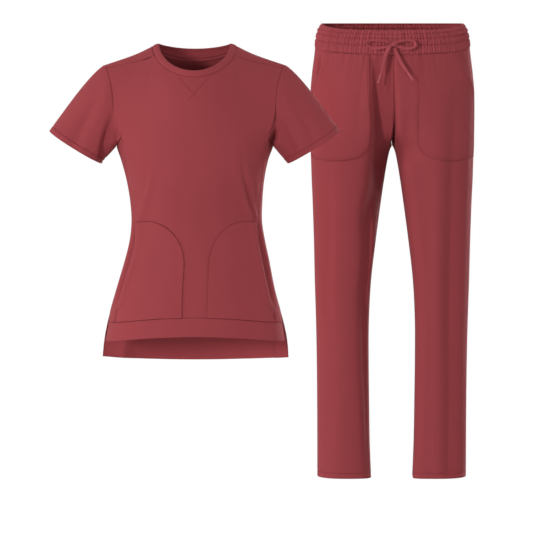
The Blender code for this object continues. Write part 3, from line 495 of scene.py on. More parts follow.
def pressed(points, edges, ring=False):
    """Presses grooves along a grid's edges: {edge: [(distance from it, half width, depth), ...]}."""
    along_row, along_column = run(points, 1), run(points, 0)
    distance = dict(left=along_row, right=along_row[:, -1:] - along_row,
                    bottom=along_column, top=along_column[-1:] - along_column)
    depth = np.zeros(points.shape[:2])
    for edge, grooves in edges.items():
        other = along_column if edge in ("left", "right") else along_row
        for away, width, deep in grooves:
            # Sewing draws cloth in a little unevenly along its seam.
            uneven = 1 + 0.22 * np.sin(other / 2.3 + away) + 0.15 * np.sin(other / 5.1)
            depth += deep * uneven * bump(distance[edge] - away, width)
    return points - outward(points, ring) * depth[..., None]


def lapped(points, edges, reach=2.6, under=1.6, ring=False):
    """Adds a seam allowance beyond a grid's edges, turned under the next piece."""
    for edge in edges:
        out = outward(points, ring)
        turn = (lambda g: g) if edge in ("bottom", "top") else (lambda g: g.swapaxes(0, 1))
        back = slice(None, None, -1) if edge in ("bottom", "left") else slice(None)
        work, out = turn(points)[back], turn(out)[back]
        away = work[-1] - work[-2]
        away = unit(away - out[-2] * (away * out[-2]).sum(1, keepdims=True))
        rows = [work[-1] + away * 0.15 - out[-2] * under * 0.7, work[-1] + away * reach - out[-2] * under]
        points = turn(np.concatenate([work, rows])[back])
    return points


def measured(line, length, places):
    """Every column of a line at places along its length."""
    return np.stack([np.interp(places, length, line[:, k]) for k in range(line.shape[1])], -1)


def inset(points, edge, away, ring=False):
    """The line at a distance inside one edge of a grid, with the directions square to the cloth."""
    grids = np.concatenate([points, outward(points, ring)], 2)
    if edge in ("bottom", "top"):
        grids = grids.swapaxes(0, 1)
    if edge in ("right", "top"):
        grids = grids[:, ::-1]
    line = np.array([measured(row, length, away) for row, length in zip(grids, run(grids[..., :3], 1))])
    return line[:, :3], line[:, 3:]


BETWEEN_GARMENTS = 255       # the top lies left of this


def make_mesh(name, vertices, faces, material, flat=None):
    """A mesh object in metres from points in millimetres; flat gives each point's place on the cut cloth."""
    mesh = bpy.data.meshes.new(name)
    mesh.from_pydata((np.asarray(vertices) * MM).tolist(), [], faces)
    mesh.polygons.foreach_set("use_smooth", [True] * len(mesh.polygons))
    if flat is not None:
        corners = np.empty(len(mesh.loops), np.int32)
        mesh.loops.foreach_get("vertex_index", corners)
        layer = mesh.uv_layers.new(name="cut")
        layer.data.foreach_set("uv", (np.asarray(flat)[corners] * MM).ravel())
    mesh.update()
    piece = bpy.data.objects.new(name, mesh)
    bpy.context.scene.collection.objects.link(piece)
    garment = "top" if np.mean(np.asarray(vertices)[:, 0]) < BETWEEN_GARMENTS else "trousers"
    garments[garment].objects.link(piece)
    mesh.materials.append(material)
    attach(piece, "root")
    return piece


def sway(vertices):
    """Moves the top's body sideways as it hangs."""
    vertices[:, 0] += np.where(vertices[:, 2] < ARM_LEVEL, read(BODY, vertices[:, 2])[3], 0)


def wall(name, points, material, thick=CLOTH, ring=False, swayed=True, reverse=None):
    """A piece of cloth as a closed wall with round edges, from its outer face in rows upward."""
    rows, columns = points.shape[:2]
    inner = points - outward(points, ring) * thick
    middle = slice(columns // 2, columns // 2 + 1)
    across = run(points, 1)
    flat = point(across - across[:, middle], run(points, 0)[:, middle], 0)[..., :2]
    count = rows * columns
    ids = np.arange(count).reshape(rows, columns)
    wide = np.hstack([ids, ids[:, :1]]) if ring else ids
    faces = np.stack([wide[:-1, :-1], wide[:-1, 1:], wide[1:, 1:], wide[1:, :-1]], -1).reshape(-1, 4)
    faces = [faces, faces[:, ::-1] + count]
    vertices, places = [points.reshape(-1, 3), inner.reshape(-1, 3)], [flat.reshape(-1, 2)] * 2
    total = 2 * count
    if ring:
        loops = [wide[0][:0:-1], wide[-1][:-1]]
    else:
        loops = [np.concatenate([ids[0], ids[1:, -1], ids[-1, -2::-1], ids[-2:0:-1, 0]])[::-1]]
    for loop in loops:
        rim_a, rim_b = vertices[0][loop], vertices[1][loop]
        ahead = np.roll(rim_a, -1, 0) - np.roll(rim_a, 1, 0)
        beyond = unit(np.cross(ahead, rim_a - rim_b))
        gap = np.linalg.norm(rim_a - rim_b, axis=1, keepdims=True)
        crown = total + np.arange(len(loop))
        vertices.append((rim_a + rim_b) / 2 + beyond * gap * RIM_ROUND)
        places.append(flat.reshape(-1, 2)[loop])
        total += len(loop)
        following, crown_next = np.roll(loop, -1), np.roll(crown, -1)
        faces.append(np.stack([loop, following, crown_next, crown], -1))
        faces.append(np.stack([crown, crown_next, following + count, loop + count], -1))
    vertices = np.concatenate(vertices)
    if swayed:
        sway(vertices)
    piece = make_mesh(name, vertices, np.concatenate(faces).tolist(), material, np.concatenate(places))
    # The inner faces take the reverse material: a copy of the cloth painted lighter, as painted light on the shaded
    # insides.
    if reverse:
        piece.data.materials.append(reverse)
        sides = np.zeros(len(piece.data.polygons), np.int32)
        sides[len(faces[0]):2 * len(faces[0])] = 1
        piece.data.polygons.foreach_set("material_index", sides)
    return piece


def new_material(name):
    """A material with its node tree and its main shader."""
    made = bpy.data.materials.new(name)
    made.use_nodes = True
    return made, made.node_tree, made.node_tree.nodes["Principled BSDF"]


# Stretch twill of polyester and elastane: a fine, dense, matt cloth. To the eye it is one deep wine red with
# a faint dry bloom where it turns away. Its threads lie 0.35 mm apart and are drawn at twice that.
WINE = "#903A3F"
THREAD_SPACING = 0.7 * MM
SLUBS, DYE_PATCHES, CREASES = 420, 26, 34        # to the metre: 2.4 mm, 38 mm and 29 mm from one to the next


def stretch_twill(name, colour, seed=0):
    """Piece-dyed stretch twill, woven."""
    made, tree, shader = new_material(name)
    cut = node(tree, "ShaderNodeUVMap", uv_map="cut").outputs[0]
    seeded = node(tree, "ShaderNodeVectorMath", {0: cut, 1: (seed, seed * 0.7, 0)}, operation="ADD").outputs[0]
    turns = 2 * math.pi / THREAD_SPACING
    x, y, _ = node(tree, "ShaderNodeSeparateXYZ", {0: seeded}).outputs
    waves = []                                       # the warp, the filling and the twill's slant
    for across, along in ((1, 0), (0, 1), (1, 1)):
        slant = node(tree, "ShaderNodeMath", {0: x, 1: across * turns}, operation="MULTIPLY").outputs[0]
        slant = node(tree, "ShaderNodeMath", {0: y, 1: along * turns, 2: slant}, operation="MULTIPLY_ADD").outputs[0]
        waves.append(node(tree, "ShaderNodeMath", {0: slant}, operation="SINE").outputs[0])
    woven = node(tree, "ShaderNodeMath", {0: waves[0], 1: waves[1]}, operation="MULTIPLY").outputs[0]
    woven = node(tree, "ShaderNodeMath", {0: waves[2], 1: 0.6, 2: woven}, operation="MULTIPLY_ADD").outputs[0]
    slub = node(tree, "ShaderNodeTexNoise", {"Vector": seeded, "Scale": SLUBS, "Detail": 2}).outputs["Fac"]
    dye = node(tree, "ShaderNodeTexNoise", {"Vector": seeded, "Scale": DYE_PATCHES, "Detail": 4}).outputs["Fac"]
    # Random dye patches and slubs vary the tone; the weave term also darkens its own low places a little, as painted
    # shade in the weave's valleys.
    shade = 0.955
    for cause, share in ((dye, 0.05), (slub, 0.1), (woven, 0.05)):
        shade = node(tree, "ShaderNodeMath", {0: cause, 1: share, 2: shade}, operation="MULTIPLY_ADD").outputs[0]
    tint = node(tree, "ShaderNodeVectorMath", {0: linear(colour)[:3], "Scale": shade}, operation="SCALE").outputs[0]
    tree.links.new(tint, shader.inputs["Base Color"])
    rough = node(tree, "ShaderNodeMath", {0: slub, 1: 0.1, 2: 0.76}, operation="MULTIPLY_ADD").outputs[0]
    tree.links.new(rough, shader.inputs["Roughness"])
    creased = node(tree, "ShaderNodeTexNoise", {"Vector": seeded, "Scale": CREASES, "Detail": 3}).outputs["Fac"]
    soft = node(tree, "ShaderNodeBump", {"Height": creased, "Strength": 0.35, "Distance": 0.6 * MM}).outputs[0]
    fine = node(tree, "ShaderNodeBump", {"Height": woven, "Strength": 0.5, "Distance": 0.12 * MM, "Normal": soft})
    tree.links.new(fine.outputs[0], shader.inputs["Normal"])
    for setting, value in {"IOR": 1.45, "Specular IOR Level": 0.2, "Sheen Weight": 0.36, "Sheen Roughness": 0.35,
                           "Sheen Tint": linear("#E07C80")}.items():
        shader.inputs[setting].default_value = value
    return made


# Spun polyester thread, dyed to match the cloth. It is painted darker than the cloth: painted shade for where it sinks
# into the cloth.
PLY_TWISTS = 900             # to the metre: 1.1 mm from one to the next


def spun_thread(name, colour):
    """Sewing thread in a given colour."""
    made, tree, shader = new_material(name)
    place = node(tree, "ShaderNodeNewGeometry").outputs["Position"]
    ply = node(tree, "ShaderNodeTexNoise", {"Vector": place, "Scale": PLY_TWISTS, "Detail": 2}).outputs["Fac"]
    shade = node(tree, "ShaderNodeMath", {0: ply, 1: 0.3, 2: 0.85}, operation="MULTIPLY_ADD").outputs[0]
    tint = node(tree, "ShaderNodeVectorMath", {0: linear(colour)[:3], "Scale": shade}, operation="SCALE").outputs[0]
    tree.links.new(tint, shader.inputs["Base Color"])
    twist = node(tree, "ShaderNodeBump", {"Height": ply, "Strength": 0.4, "Distance": 0.1 * MM}).outputs[0]
    tree.links.new(twist, shader.inputs["Normal"])
    shader.inputs["Roughness"].default_value = 0.7
    shader.inputs["Specular IOR Level"].default_value = 0.2
    return made


top_cloth = stretch_twill("stretch_twill_woven_top", WINE)
# The inner faces take a lighter copy of the twill: painted light that lifts the shaded insides of the back, seen
# through the neck and below the hem, and of the waistband.
painted_light_reverse = stretch_twill("stretch_twill_reverse_painted_lighter", "#993E43", seed=0.21)
# The thread is painted darker than the cloth, as painted shade along the sewing.
thread = spun_thread("polyester_thread_painted_darker", "#74242A")

STITCH = dict(pitch=3.2, length=2.7, width=1.5, proud=0.42)
ENDS_SUNK, SIDES_SUNK, TAPER = -0.15, -0.1, 0.55     # how deep a stitch's ends and sides lie, and where it narrows


def sewn(name, lines, swayed=True, finer=1):
    """Rows of sewing as one mesh: each stitch is a short rounded bar of thread bedded in the cloth."""
    half, wide, high = STITCH["length"] / 2, STITCH["width"] / 2 * finer, STITCH["proud"] * finer
    # along, aside, up of one stitch's points
    shape = np.array([(-half, 0, ENDS_SUNK)]
                     + [(end * TAPER * half, side * wide, SIDES_SUNK if side else high) for end in (-1, 1)
                        for side in (-1, 0, 1)] + [(half, 0, ENDS_SUNK)])
    around = [(0, 1, 2), (0, 2, 3), (1, 4, 5, 2), (2, 5, 6, 3), (7, 5, 4), (7, 6, 5), (0, 3, 1), (1, 3, 6, 4),
              (7, 4, 6)]
    vertices, faces = [], []
    for points, out in lines:
        length = run(points[None], 1)[0]
        places = np.arange(STITCH["pitch"] / 2, length[-1], STITCH["pitch"])
        at, up = measured(points, length, places), measured(out, length, places)
        along = unit(measured(points, length, places + 1) - measured(points, length, places - 1))
        aside = np.cross(up, along)
        for n in range(len(places)):
            base = len(vertices) * len(shape)
            vertices.append(at[n] + shape[:, :1] * along[n] + shape[:, 1:2] * aside[n] + shape[:, 2:] * up[n])
            faces += [[base + k for k in face] for face in around]
    vertices = np.concatenate(vertices)
    if swayed:
        sway(vertices)
    make_mesh(name, vertices, faces, thread)


front_across = 2 * shares(420, 3.4) - 1
front_low, front_high = shares(390, 5.5, fine=(0,)), 1 + shares(150, 5, fine=(150,))
front = grid(front_panel, front_across, np.concatenate([front_low, front_high[1:]]))
front = eased(front, len(front_low) - 1)


# side, depth, height, reach up and down, slant, width inward and outward of the crease under each arm
ARMPITS = [(1, 36, -208, 19, 0.28, 5, 8.5), (-1, 7, -205, 18, 0, 4, 9)]
ARMPIT_X, ARMPIT_Z = 168, -206       # where their middle lines cross


def armpits(points):
    """Draws the cloth into a deep crease under each arm."""
    x, y, z = np.moveaxis(points, -1, 0)
    depth = 0
    for side, deep, height, reach, slant, inward, outer in ARMPITS:
        aside = side * x - ARMPIT_X - slant * (z - ARMPIT_Z)
        depth = depth + deep * bump(z - height, reach) * bump(aside, np.where(aside < 0, inward, outer))
    return points + point(0, depth * smooth((20 - y) / 40), 0)


front = armpits(front)
seam_depth = 0.3 + 1 * smooth((ARM_LEVEL - front[..., 2]) / 30)
side_roll = (0, 2, seam_depth)
front = pressed(front, dict(left=[side_roll], right=[side_roll], bottom=[ROLL], top=[SOFT_ROLL]))
from_top = run(front, 0)[-1:] - run(front, 0)
pinch = 2.6 * bump(front[..., 0] + 103, 8) * bump(from_top - 1.6, 2.2)       # a short pull beside the neck
front = front - outward(front) * pinch[..., None]
piece = wall("front", lapped(front, ("top",)), top_cloth)
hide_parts("top_front")

# The crossed lines under the neck are plain sewing through the one layer, a mark of workwear tops.
V_LINES = [((-32.5, -73.5), (9.5, -121)), ((31.5, -74), (-14, -124))]    # from x, z to x, z


def sewn_line(points, ends, count=40):
    """A straight line of sewing on the front of a grid, with the directions square to the cloth."""
    corners = points.reshape(-1, 3)
    ids = np.arange(len(corners)).reshape(points.shape[:2])
    quads = np.stack([ids[:-1, :-1], ids[:-1, 1:], ids[1:, 1:], ids[1:, :-1]], -1).reshape(-1, 4)
    tree = BVHTree.FromPolygons(corners.tolist(), quads.tolist())
    places, directions = [], []
    for k in np.linspace(0, 1, count):
        x, z = [ends[0][n] + (ends[1][n] - ends[0][n]) * k for n in (0, 1)]
        place, direction, _, _ = tree.ray_cast(Vector((x, -900, z)), Vector((0, 1, 0)))
        places.append(place)
        directions.append(direction if direction.y < 0 else -direction)
    return np.array(places), np.array(directions)


sewn("chest_v_sewing", [sewn_line(front, ends) for ends in V_LINES])
# The sewing along each pocket's top runs on to the side seam.
POCKET_TOP_LINES = [((122.5, -388.5), (131.5, -395.5)), ((-124, -388.5), (-130, -391))]
sewn("pocket_top_sewing", [sewn_line(front, ends, 12) for ends in POCKET_TOP_LINES], finer=1.5)

# ---------------------------------------------------------------- side panels of the top
# Two narrow panels of the same cloth under the arms, which take the place of a side seam and carry the
# pocket's tack at hip height.


def side_panel(u, v):
    """The right side panel, u from the front seam to the back one, v up to the underarm."""
    seam_top = read(BODY, ARM_LEVEL)[4]
    bottom = hem(HEM_SEAM, -seam_top * (1 - u) + BACK_SEAM * u)
    z = bottom + (armhole(-UNDERARM_STATIONS * u)[..., 2] - bottom) * v
    front_seam = read(BODY, z)[4]
    front_seam = front_seam + (seam_top - front_seam) * u * v
    return body((-front_seam + SEAM_ANGLE) * (1 - u) + (BACK_SEAM - SEAM_ANGLE) * u, z)


side = grid(side_panel, shares(72, 3.2), shares(400, 6))
for name, points in (("right", side), ("left", flip(side)[:, ::-1])):
    points = pressed(armpits(points), dict(left=[DEEP_ROLL], right=[DEEP_ROLL], bottom=[ROLL], top=[ROLL]))
    piece = wall("side_panel_" + name, lapped(points, ("left", "right", "top")), top_cloth)
    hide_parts("top_side_" + name)

# ---------------------------------------------------------------- back of the top
# One piece, cut over the shoulder so that its seam lies forward, and longer than the front. Its hem is
# turned up once and sewn with one row; the edges of the vents are turned in the same way.

BACK_EDGE = (-703.6, 11)


def back_panel(u, v):
    """The back: v to 1 at the armholes, to 2 at the shoulder ridge, to 3 over it; u is +1 at the left."""
    def section(z):
        return body(90 + u * (90 - BACK_SEAM - SEAM_ANGLE), z, front_piece=False)

    def ridge(part):
        return point(*read(SHOULDER, part))

    def arm_line(k):
        return armhole(BACK_STATION + (RIDGE_STATION - BACK_STATION) * k)

    def edge(place):
        return flip(top_edge(place, ridge, lambda n: 90 - n * 90))

    bottom = hem(BACK_EDGE, 90 + u * (90 - BACK_SEAM))
    behind = chest_panel(u, v, section, bottom, ARMHOLE[-1][3], edge, arm_line, lambda k: flip(arm_line(k)),
                         BACK_FULLNESS)
    t = np.clip(v - 2, 0, 1)
    part = np.clip((np.abs(u) - NECK_PART) / (1 - NECK_PART), 0, 1)
    over = patch(part, t, ridge, shoulder_seam, lambda k: neckline(NECK_SEAM, -NECK_SHOULDER * k),
                 lambda k: armhole(RIDGE_STATION + (SEAM_STATION - RIDGE_STATION) * k))
    over = over + np.array((0, -0.4, 0.9)) * (8 * part * (1 - part) * np.sin(np.pi * t))[..., None]
    over = np.where((u < 0)[..., None], over, flip(over))
    return np.where((v <= 2)[..., None], behind, over)


HEM_SEWING = 6
back_across = np.unique(np.concatenate([2 * shares(470, 5.5) - 1, (-NECK_PART, NECK_PART)]))
back_low, back_high = shares(480, 5.5, fine=(0, HEM_SEWING)), 1 + shares(190, 5.5, fine=())
back = grid(back_panel, back_across, np.concatenate([back_low, back_high[1:]]))
back = eased(back, len(back_low) - 1)
# Below the vents the back's corners hang free and lie open, flat, the left one more.
free = smooth((VENT_TOP - 12 - back[..., 2]) / 70)
# side, how far back it lies, how much of the way it goes, how far out it starts, over what width
for side, plane, share, start, width in ((-1, 88, 0.9, 100, 60), (1, 62, 0.8, 130, 50)):
    opened = share * np.maximum(0, plane - back[..., 1]) * smooth((side * back[..., 0] - start) / width)
    back = back + point(0, free * opened, 0)
back = pressed(back, dict(left=[ROLL], right=[ROLL], bottom=[(0, 0.8, 0.5), (HEM_SEWING, 0.9, 0.5)]))
piece = wall("back", back, top_cloth, reverse=painted_light_reverse)
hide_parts("top_back")
for name, inside in (("left", back_across > NECK_PART - 1e-6), ("right", back_across < -NECK_PART + 1e-6)):
    strip = pressed(grid(back_panel, back_across[inside], 2 + shares(30, 3, fine=(30,)) * 0.98), dict(top=[ROLL]))
    piece = wall("back_shoulder_" + name, strip, top_cloth)
sewn("back_hem_sewing", [inset(back, "bottom", HEM_SEWING)])

# ---------------------------------------------------------------- hem band of the top
# A doubled strip of the same cloth, its lower edge a fold. It is sewn on under the front and the side panels and
# stands a little proud of them.

BAND_EDGE = (-635, -16)
BAND_PROUD = 0.4


def hem_band(u, v):
    """The band, from vent to vent, v up to the seam."""
    angle = -90 + u * (90 + BACK_SEAM)
    bottom, top = hem(BAND_EDGE, angle), hem(HEM_SEAM, angle) - 0.3
    return body(angle, bottom + (top - bottom) * v)


band = grid(hem_band, 2 * shares(520, 5) - 1, shares(41, 4))
band = band + outward(band) * BAND_PROUD
band = pressed(band, dict(top=[ROLL], bottom=[(0, 1.2, 0.5)], left=[(0, 1.2, 0.4)], right=[(0, 1.2, 0.4)]))
piece = wall("hem_band", lapped(band, ("top",), under=2), top_cloth, thick=2)
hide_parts("top_hem_band")

# ---------------------------------------------------------------- neck band and tape
# The neck is bound with a doubled strip of the cloth, folded at its upper edge. Inside the back, a
# narrow tape of the same cloth covers the seam and is sewn down along both its edges.

NECK_EDGE = (77.8, 76, 58, -1, 57.6, 11.5)
TAPE_SEWING = (1.5, 0.6, 0.25)         # a groove, as in ROLL


def neck_band(angle, v):
    """The band round the neck, from its seam up to its fold, slightly rounded."""
    seam, edge = neckline(NECK_SEAM, angle), neckline(NECK_EDGE, angle)
    c, s = turned(angle)
    return seam + (edge - seam) * v[..., None] + point(c, s, 0.8) * (1.2 * np.sin(np.pi * v))[..., None]


def neck_tape(angle, v):
    """The tape behind the band."""
    c, s = turned(angle)
    forward, down = 2.6 - 1.6 * (1 - v), 1 + 9 * (1 - v)
    return neckline(NECK_SEAM, angle) - point(c * 0.6, s, 0) * forward[..., None] - point(0, 0, down)


collar_up = 0.02 + 0.98 * shares(15, 1.5, fine=(0,), reach=3, small=0.7)
collar = grid(neck_band, np.arange(-180, 180, 1.5), collar_up)
collar = pressed(collar, dict(bottom=[SOFT_ROLL], top=[(0, 0.9, 0.35)]), ring=True)
piece = wall("neck_band", lapped(collar, ("bottom",), reach=4, under=1.8, ring=True), top_cloth, thick=2, ring=True)
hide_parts("top_neck_band")
tape = grid(neck_tape, np.arange(33, 147.5, 2), shares(12, 1.5, fine=(1.5, 10.5), reach=1.6, small=0.5))
tape = pressed(tape, dict(bottom=[TAPE_SEWING], top=[TAPE_SEWING]))
piece = wall("neck_tape", tape, top_cloth, thick=0.8)
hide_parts("top_neck_tape")

# ---------------------------------------------------------------- sleeves
# Short set-in sleeves of the same cloth. Each hem is turned up 14 mm and sewn with two close rows; the
# cloth breaks into soft folds from the underarm.

SLEEVE_TOP, SLEEVE_UNDER = np.array((318, 0, -191.6)), np.array((203, 0, -263))
SLEEVE_DEPTH, SLEEVE_HEM = 55, 14
CAP_FULLNESS, HEM_TILT = 7.5, 3        # of the sleeve's top, and how much its hem's front and back reach out
# armhole station and the angle round the sleeve: 0 on top, 90 in front, 180 under the arm
SLEEVE_ANGLES = [
    (-2, 187), (-1, 160), (0, 134), (1, 113), (2, 91), (3, 67), (4, 38),
    (5, 10), (6, -9), (7, -30), (8, -50), (9, -72), (10, -95),
    (11, -118), (12, -144), (13, -173),
]
# angle at the armhole and at the hem, widths over and under it as angles, depth, where along it starts and ends
SLEEVE_FOLDS = dict(
    left=[(88, 162, 10, 30, 15, 0, 0.97), (34, 86, 15, 13, 6.5, 0.12, 1.25),
          (-100, -146, 14, 14, 6, 0, 1.1), (-60, -110, 12, 12, 3, 0, 1.1)],
    right=[(94, 140, 17, 26, 13, -0.15, 0.95), (34, 84, 15, 12, 4, 0.12, 1.25),
           (66, 100, 12, 12, 3, 0, 0.8), (-100, -140, 14, 14, 6, 0, 1.1),
           (-60, -104, 12, 12, 3, 0, 1.1)])
SLEEVE_AXIS = np.array((0.527, 0, -0.85))


def sleeve(turn, v, folds):
    """A sleeve on the right; turn is minus the armhole's station, and v runs out to the hem."""
    start = armhole(-turn) + np.array((0.82, 0, -0.57)) * (0.15 * (1 - v))[..., None]
    angle = read(SLEEVE_ANGLES, -turn)[0]
    c, s = turned(angle)
    end = (SLEEVE_TOP + SLEEVE_UNDER) / 2 + (SLEEVE_TOP - SLEEVE_UNDER) / 2 * c[..., None]
    end = end - point(0, SLEEVE_DEPTH * s, 0) + SLEEVE_AXIS * (HEM_TILT * np.abs(s))[..., None]
    out = point(0.76 * c, -s, 0.65 * c)
    push = CAP_FULLNESS * ((1 + c) / 2) ** 2 * np.sin(np.pi * v ** 0.6)
    for from_angle, to_angle, over, under, deep, first, last in folds:
        away = (angle - from_angle - (to_angle - from_angle) * v + 180) % 360 - 180
        along = np.sin(np.pi * np.clip((v - first) / (last - first), 0, 1)) ** 0.8
        push = push - deep * bump(away, np.where(away < 0, over, under)) * along
    return start + (end - start) * v[..., None] + out * push[..., None]


turns = np.linspace(-BACK_STATION, UNDERARM_STATIONS, 151)[:-1]
for name in ("right", "left"):
    points = grid(lambda turn, v: sleeve(turn, v, SLEEVE_FOLDS[name]), turns,
                  shares(140, 3.4, fine=(0, 7, 14, 140 - SLEEVE_HEM, 140), reach=3.5))
    if name == "left":
        points = flip(points)[:, ::-1]
    hem_grooves = [(0, 0.8, 0.4), (SLEEVE_HEM, 1, 0.8), (SLEEVE_HEM - 3.4, 1.8, -0.6)]
    points = pressed(armpits(points), dict(bottom=[SOFT_ROLL], top=hem_grooves), ring=True)
    piece = wall("sleeve_" + name, lapped(points, ("bottom",), ring=True), top_cloth, ring=True)
    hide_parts("top_sleeve_" + name)
    sewn("sleeve_hem_sewing_" + name, [inset(points, "top", SLEEVE_HEM - 1, True)])

# ---------------------------------------------------------------- pockets of the top
# Round-topped pockets, laid on the front and sewn down round the arc and the inner edge. Each stays
# open along its slanting outer edge, which is turned in and tacked at both ends.

POCKET_INNER, POCKET_TOP = 26, 126
ARC_X, ARC_Z, ARC_HALF_WIDTH, ARC_HEIGHT, ARC_PART = 105, -480, 78.5, 95, 0.82
OPENING_ANGLE, OPENING_LIFT, OPENING_ROLL = 1.2, 4, 4.2
TACK_HEIGHT = 27             # the opening ends this far above the hem band
LAID = 0.85


def angle_of(ratio):
    """The angle whose full cosine is the given ratio of the half width."""
    ratio = np.clip(ratio, -1, 1)
    return np.degrees(np.arccos(np.sign(ratio) * np.abs(ratio) ** (1 / SQUARENESS)))


def front_angle(x, z):
    """How far round from the side a place on the front is, from its distance to the centre."""
    return angle_of(x / (read(BODY, z)[0] - vent_inset(z)))


def pocket_place(s, t):
    """A place on a pocket as an angle from the side and a height, s outward and t upward."""
    def opening(z):
        return read(BODY, z)[4] + OPENING_ANGLE

    def arc(k):
        turn = np.pi / 2 * np.minimum(1, k / ARC_PART)
        past = np.maximum(0, k - ARC_PART) / (1 - ARC_PART)
        x = ARC_X - ARC_HALF_WIDTH * np.cos(turn) + (POCKET_TOP - ARC_X) * past
        z = ARC_Z + ARC_HEIGHT * np.sin(turn) - 2 * past
        return point(front_angle(x, z), 0, z)

    def bottom(k):
        z = hem(HEM_SEAM, -90) + 0.3
        inner_angle = front_angle(POCKET_INNER, z)
        angle = inner_angle + (opening(z) - inner_angle) * k
        return point(angle, 0, hem(HEM_SEAM, -angle) + 0.3)

    zero, one = np.float64(0), np.float64(1)

    def outer(k):
        low, high = bottom(one), arc(one)
        z = low[2] + (high[2] - low[2]) * k
        ends = (opening(low[2]) - low[0]) * (1 - k) + (opening(high[2]) - high[0]) * k
        return point(opening(z) - ends, 0, z)

    def inner(k):
        low, high = bottom(zero), arc(zero)
        z = low[2] + (high[2] - low[2]) * k
        return point(front_angle(POCKET_INNER, z), 0, z)

    return patch(s, t, bottom, arc, inner, outer)


def laid(face, angles, z, lift):
    """Points of a form at angles and heights, lifted off it square to its face."""
    nudge = 0.05
    side = face(angles + nudge, z) - face(angles - nudge, z)
    rise = face(angles, z + nudge) - face(angles, z - nudge)
    return face(angles, z) + unit(np.cross(side, rise)) * lift[..., None]


def plain_body(angle, z):
    """The body without the hollow beside the pockets' openings."""
    return body(angle, z, gaping=False)


POCKET_CLOTH = 0.9
POCKET_WIDE, POCKET_TALL = 170, 190
pocket_s, pocket_t = np.meshgrid(shares(POCKET_WIDE, 4, reach=4), shares(POCKET_TALL, 4, reach=4))
place = pocket_place(pocket_s, pocket_t)
open_part = np.clip((pocket_t * POCKET_TALL - TACK_HEIGHT) / (POCKET_TALL - TACK_HEIGHT), 0, 1)
gapes = np.sin(np.pi * open_part ** 0.8) ** 0.6
opening = OPENING_LIFT * smooth((pocket_s - 0.5) / 0.5) + OPENING_ROLL * bump(pocket_s - 0.94, 0.05)
lift = LAID + POCKET_CLOTH + gapes * opening
for name, start, turn, sewn_side, open_side in (("right", 0, -1, "left", "right"), ("left", -180, 1, "right", "left")):
    points = laid(plain_body, start + turn * place[..., 0], place[..., 2], lift)[:, ::-turn]
    points = pressed(points, {sewn_side: [(0, 1.1, 0.9)], "top": [(0, 1.1, 0.9)], open_side: [(0, 1, 0.4)]})
    piece = wall("pocket_" + name, points, top_cloth, thick=POCKET_CLOTH)
    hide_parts("top_pocket_" + name)
    lines = [inset(points, sewn_side, 1.6), inset(points, "top", 1.6)]
    closed = pocket_t[:, 0] * POCKET_TALL < TACK_HEIGHT
    lines += [tuple(part[closed] for part in inset(points, open_side, away)) for away in (1.6, 4)]
    row = np.argmax(~closed)                         # a short bar across the opening's end
    ends = slice(-6, None) if open_side == "right" else slice(0, 6)
    lines.append((points[row, ends], outward(points)[row, ends]))
    sewn("pocket_sewing_" + name, lines)

# ---------------------------------------------------------------- legs of the trousers
# Four panels of the same stretch twill: two fronts and two backs, joined at the outer sides, the inseams
# and the centre. Each leg hem is turned up 12 mm and sewn with one row.

TROUSERS_AT = np.array((436, 150, 0))
# height, outer side, inner side (below 0 it would pass the centre), front depth, back depth
LEG = [
    (-10, 171.5, -171.5, 94, 93),
    (-28, 173.4, -171, 97, 96),
    (-67, 178.3, -152, 104, 108),
    (-110, 181.8, -118, 110, 118),
    (-156, 182.5, -76, 113, 122),
    (-195, 182.2, -34, 113, 120),
    (-216, 182, -12, 112, 118),
    (-230, 181.8, 0.8, 111, 115),
    (-240, 181.4, 5.6, 110, 112),
    (-262, 180.4, 10.6, 107, 108),
    (-305, 179, 17.8, 102, 103),
    (-349, 177, 24.2, 97, 97),
    (-438, 174, 36.2, 87, 87),
    (-527, 172, 46.4, 78, 77),
    (-617, 169.2, 51.1, 72, 71),
    (-706, 167.4, 51.4, 68, 68),
    (-795, 166.5, 50.4, 65, 65),
    (-885, 166.1, 49, 62.5, 63),
    (-966, 166, 46, 61, 62),
]
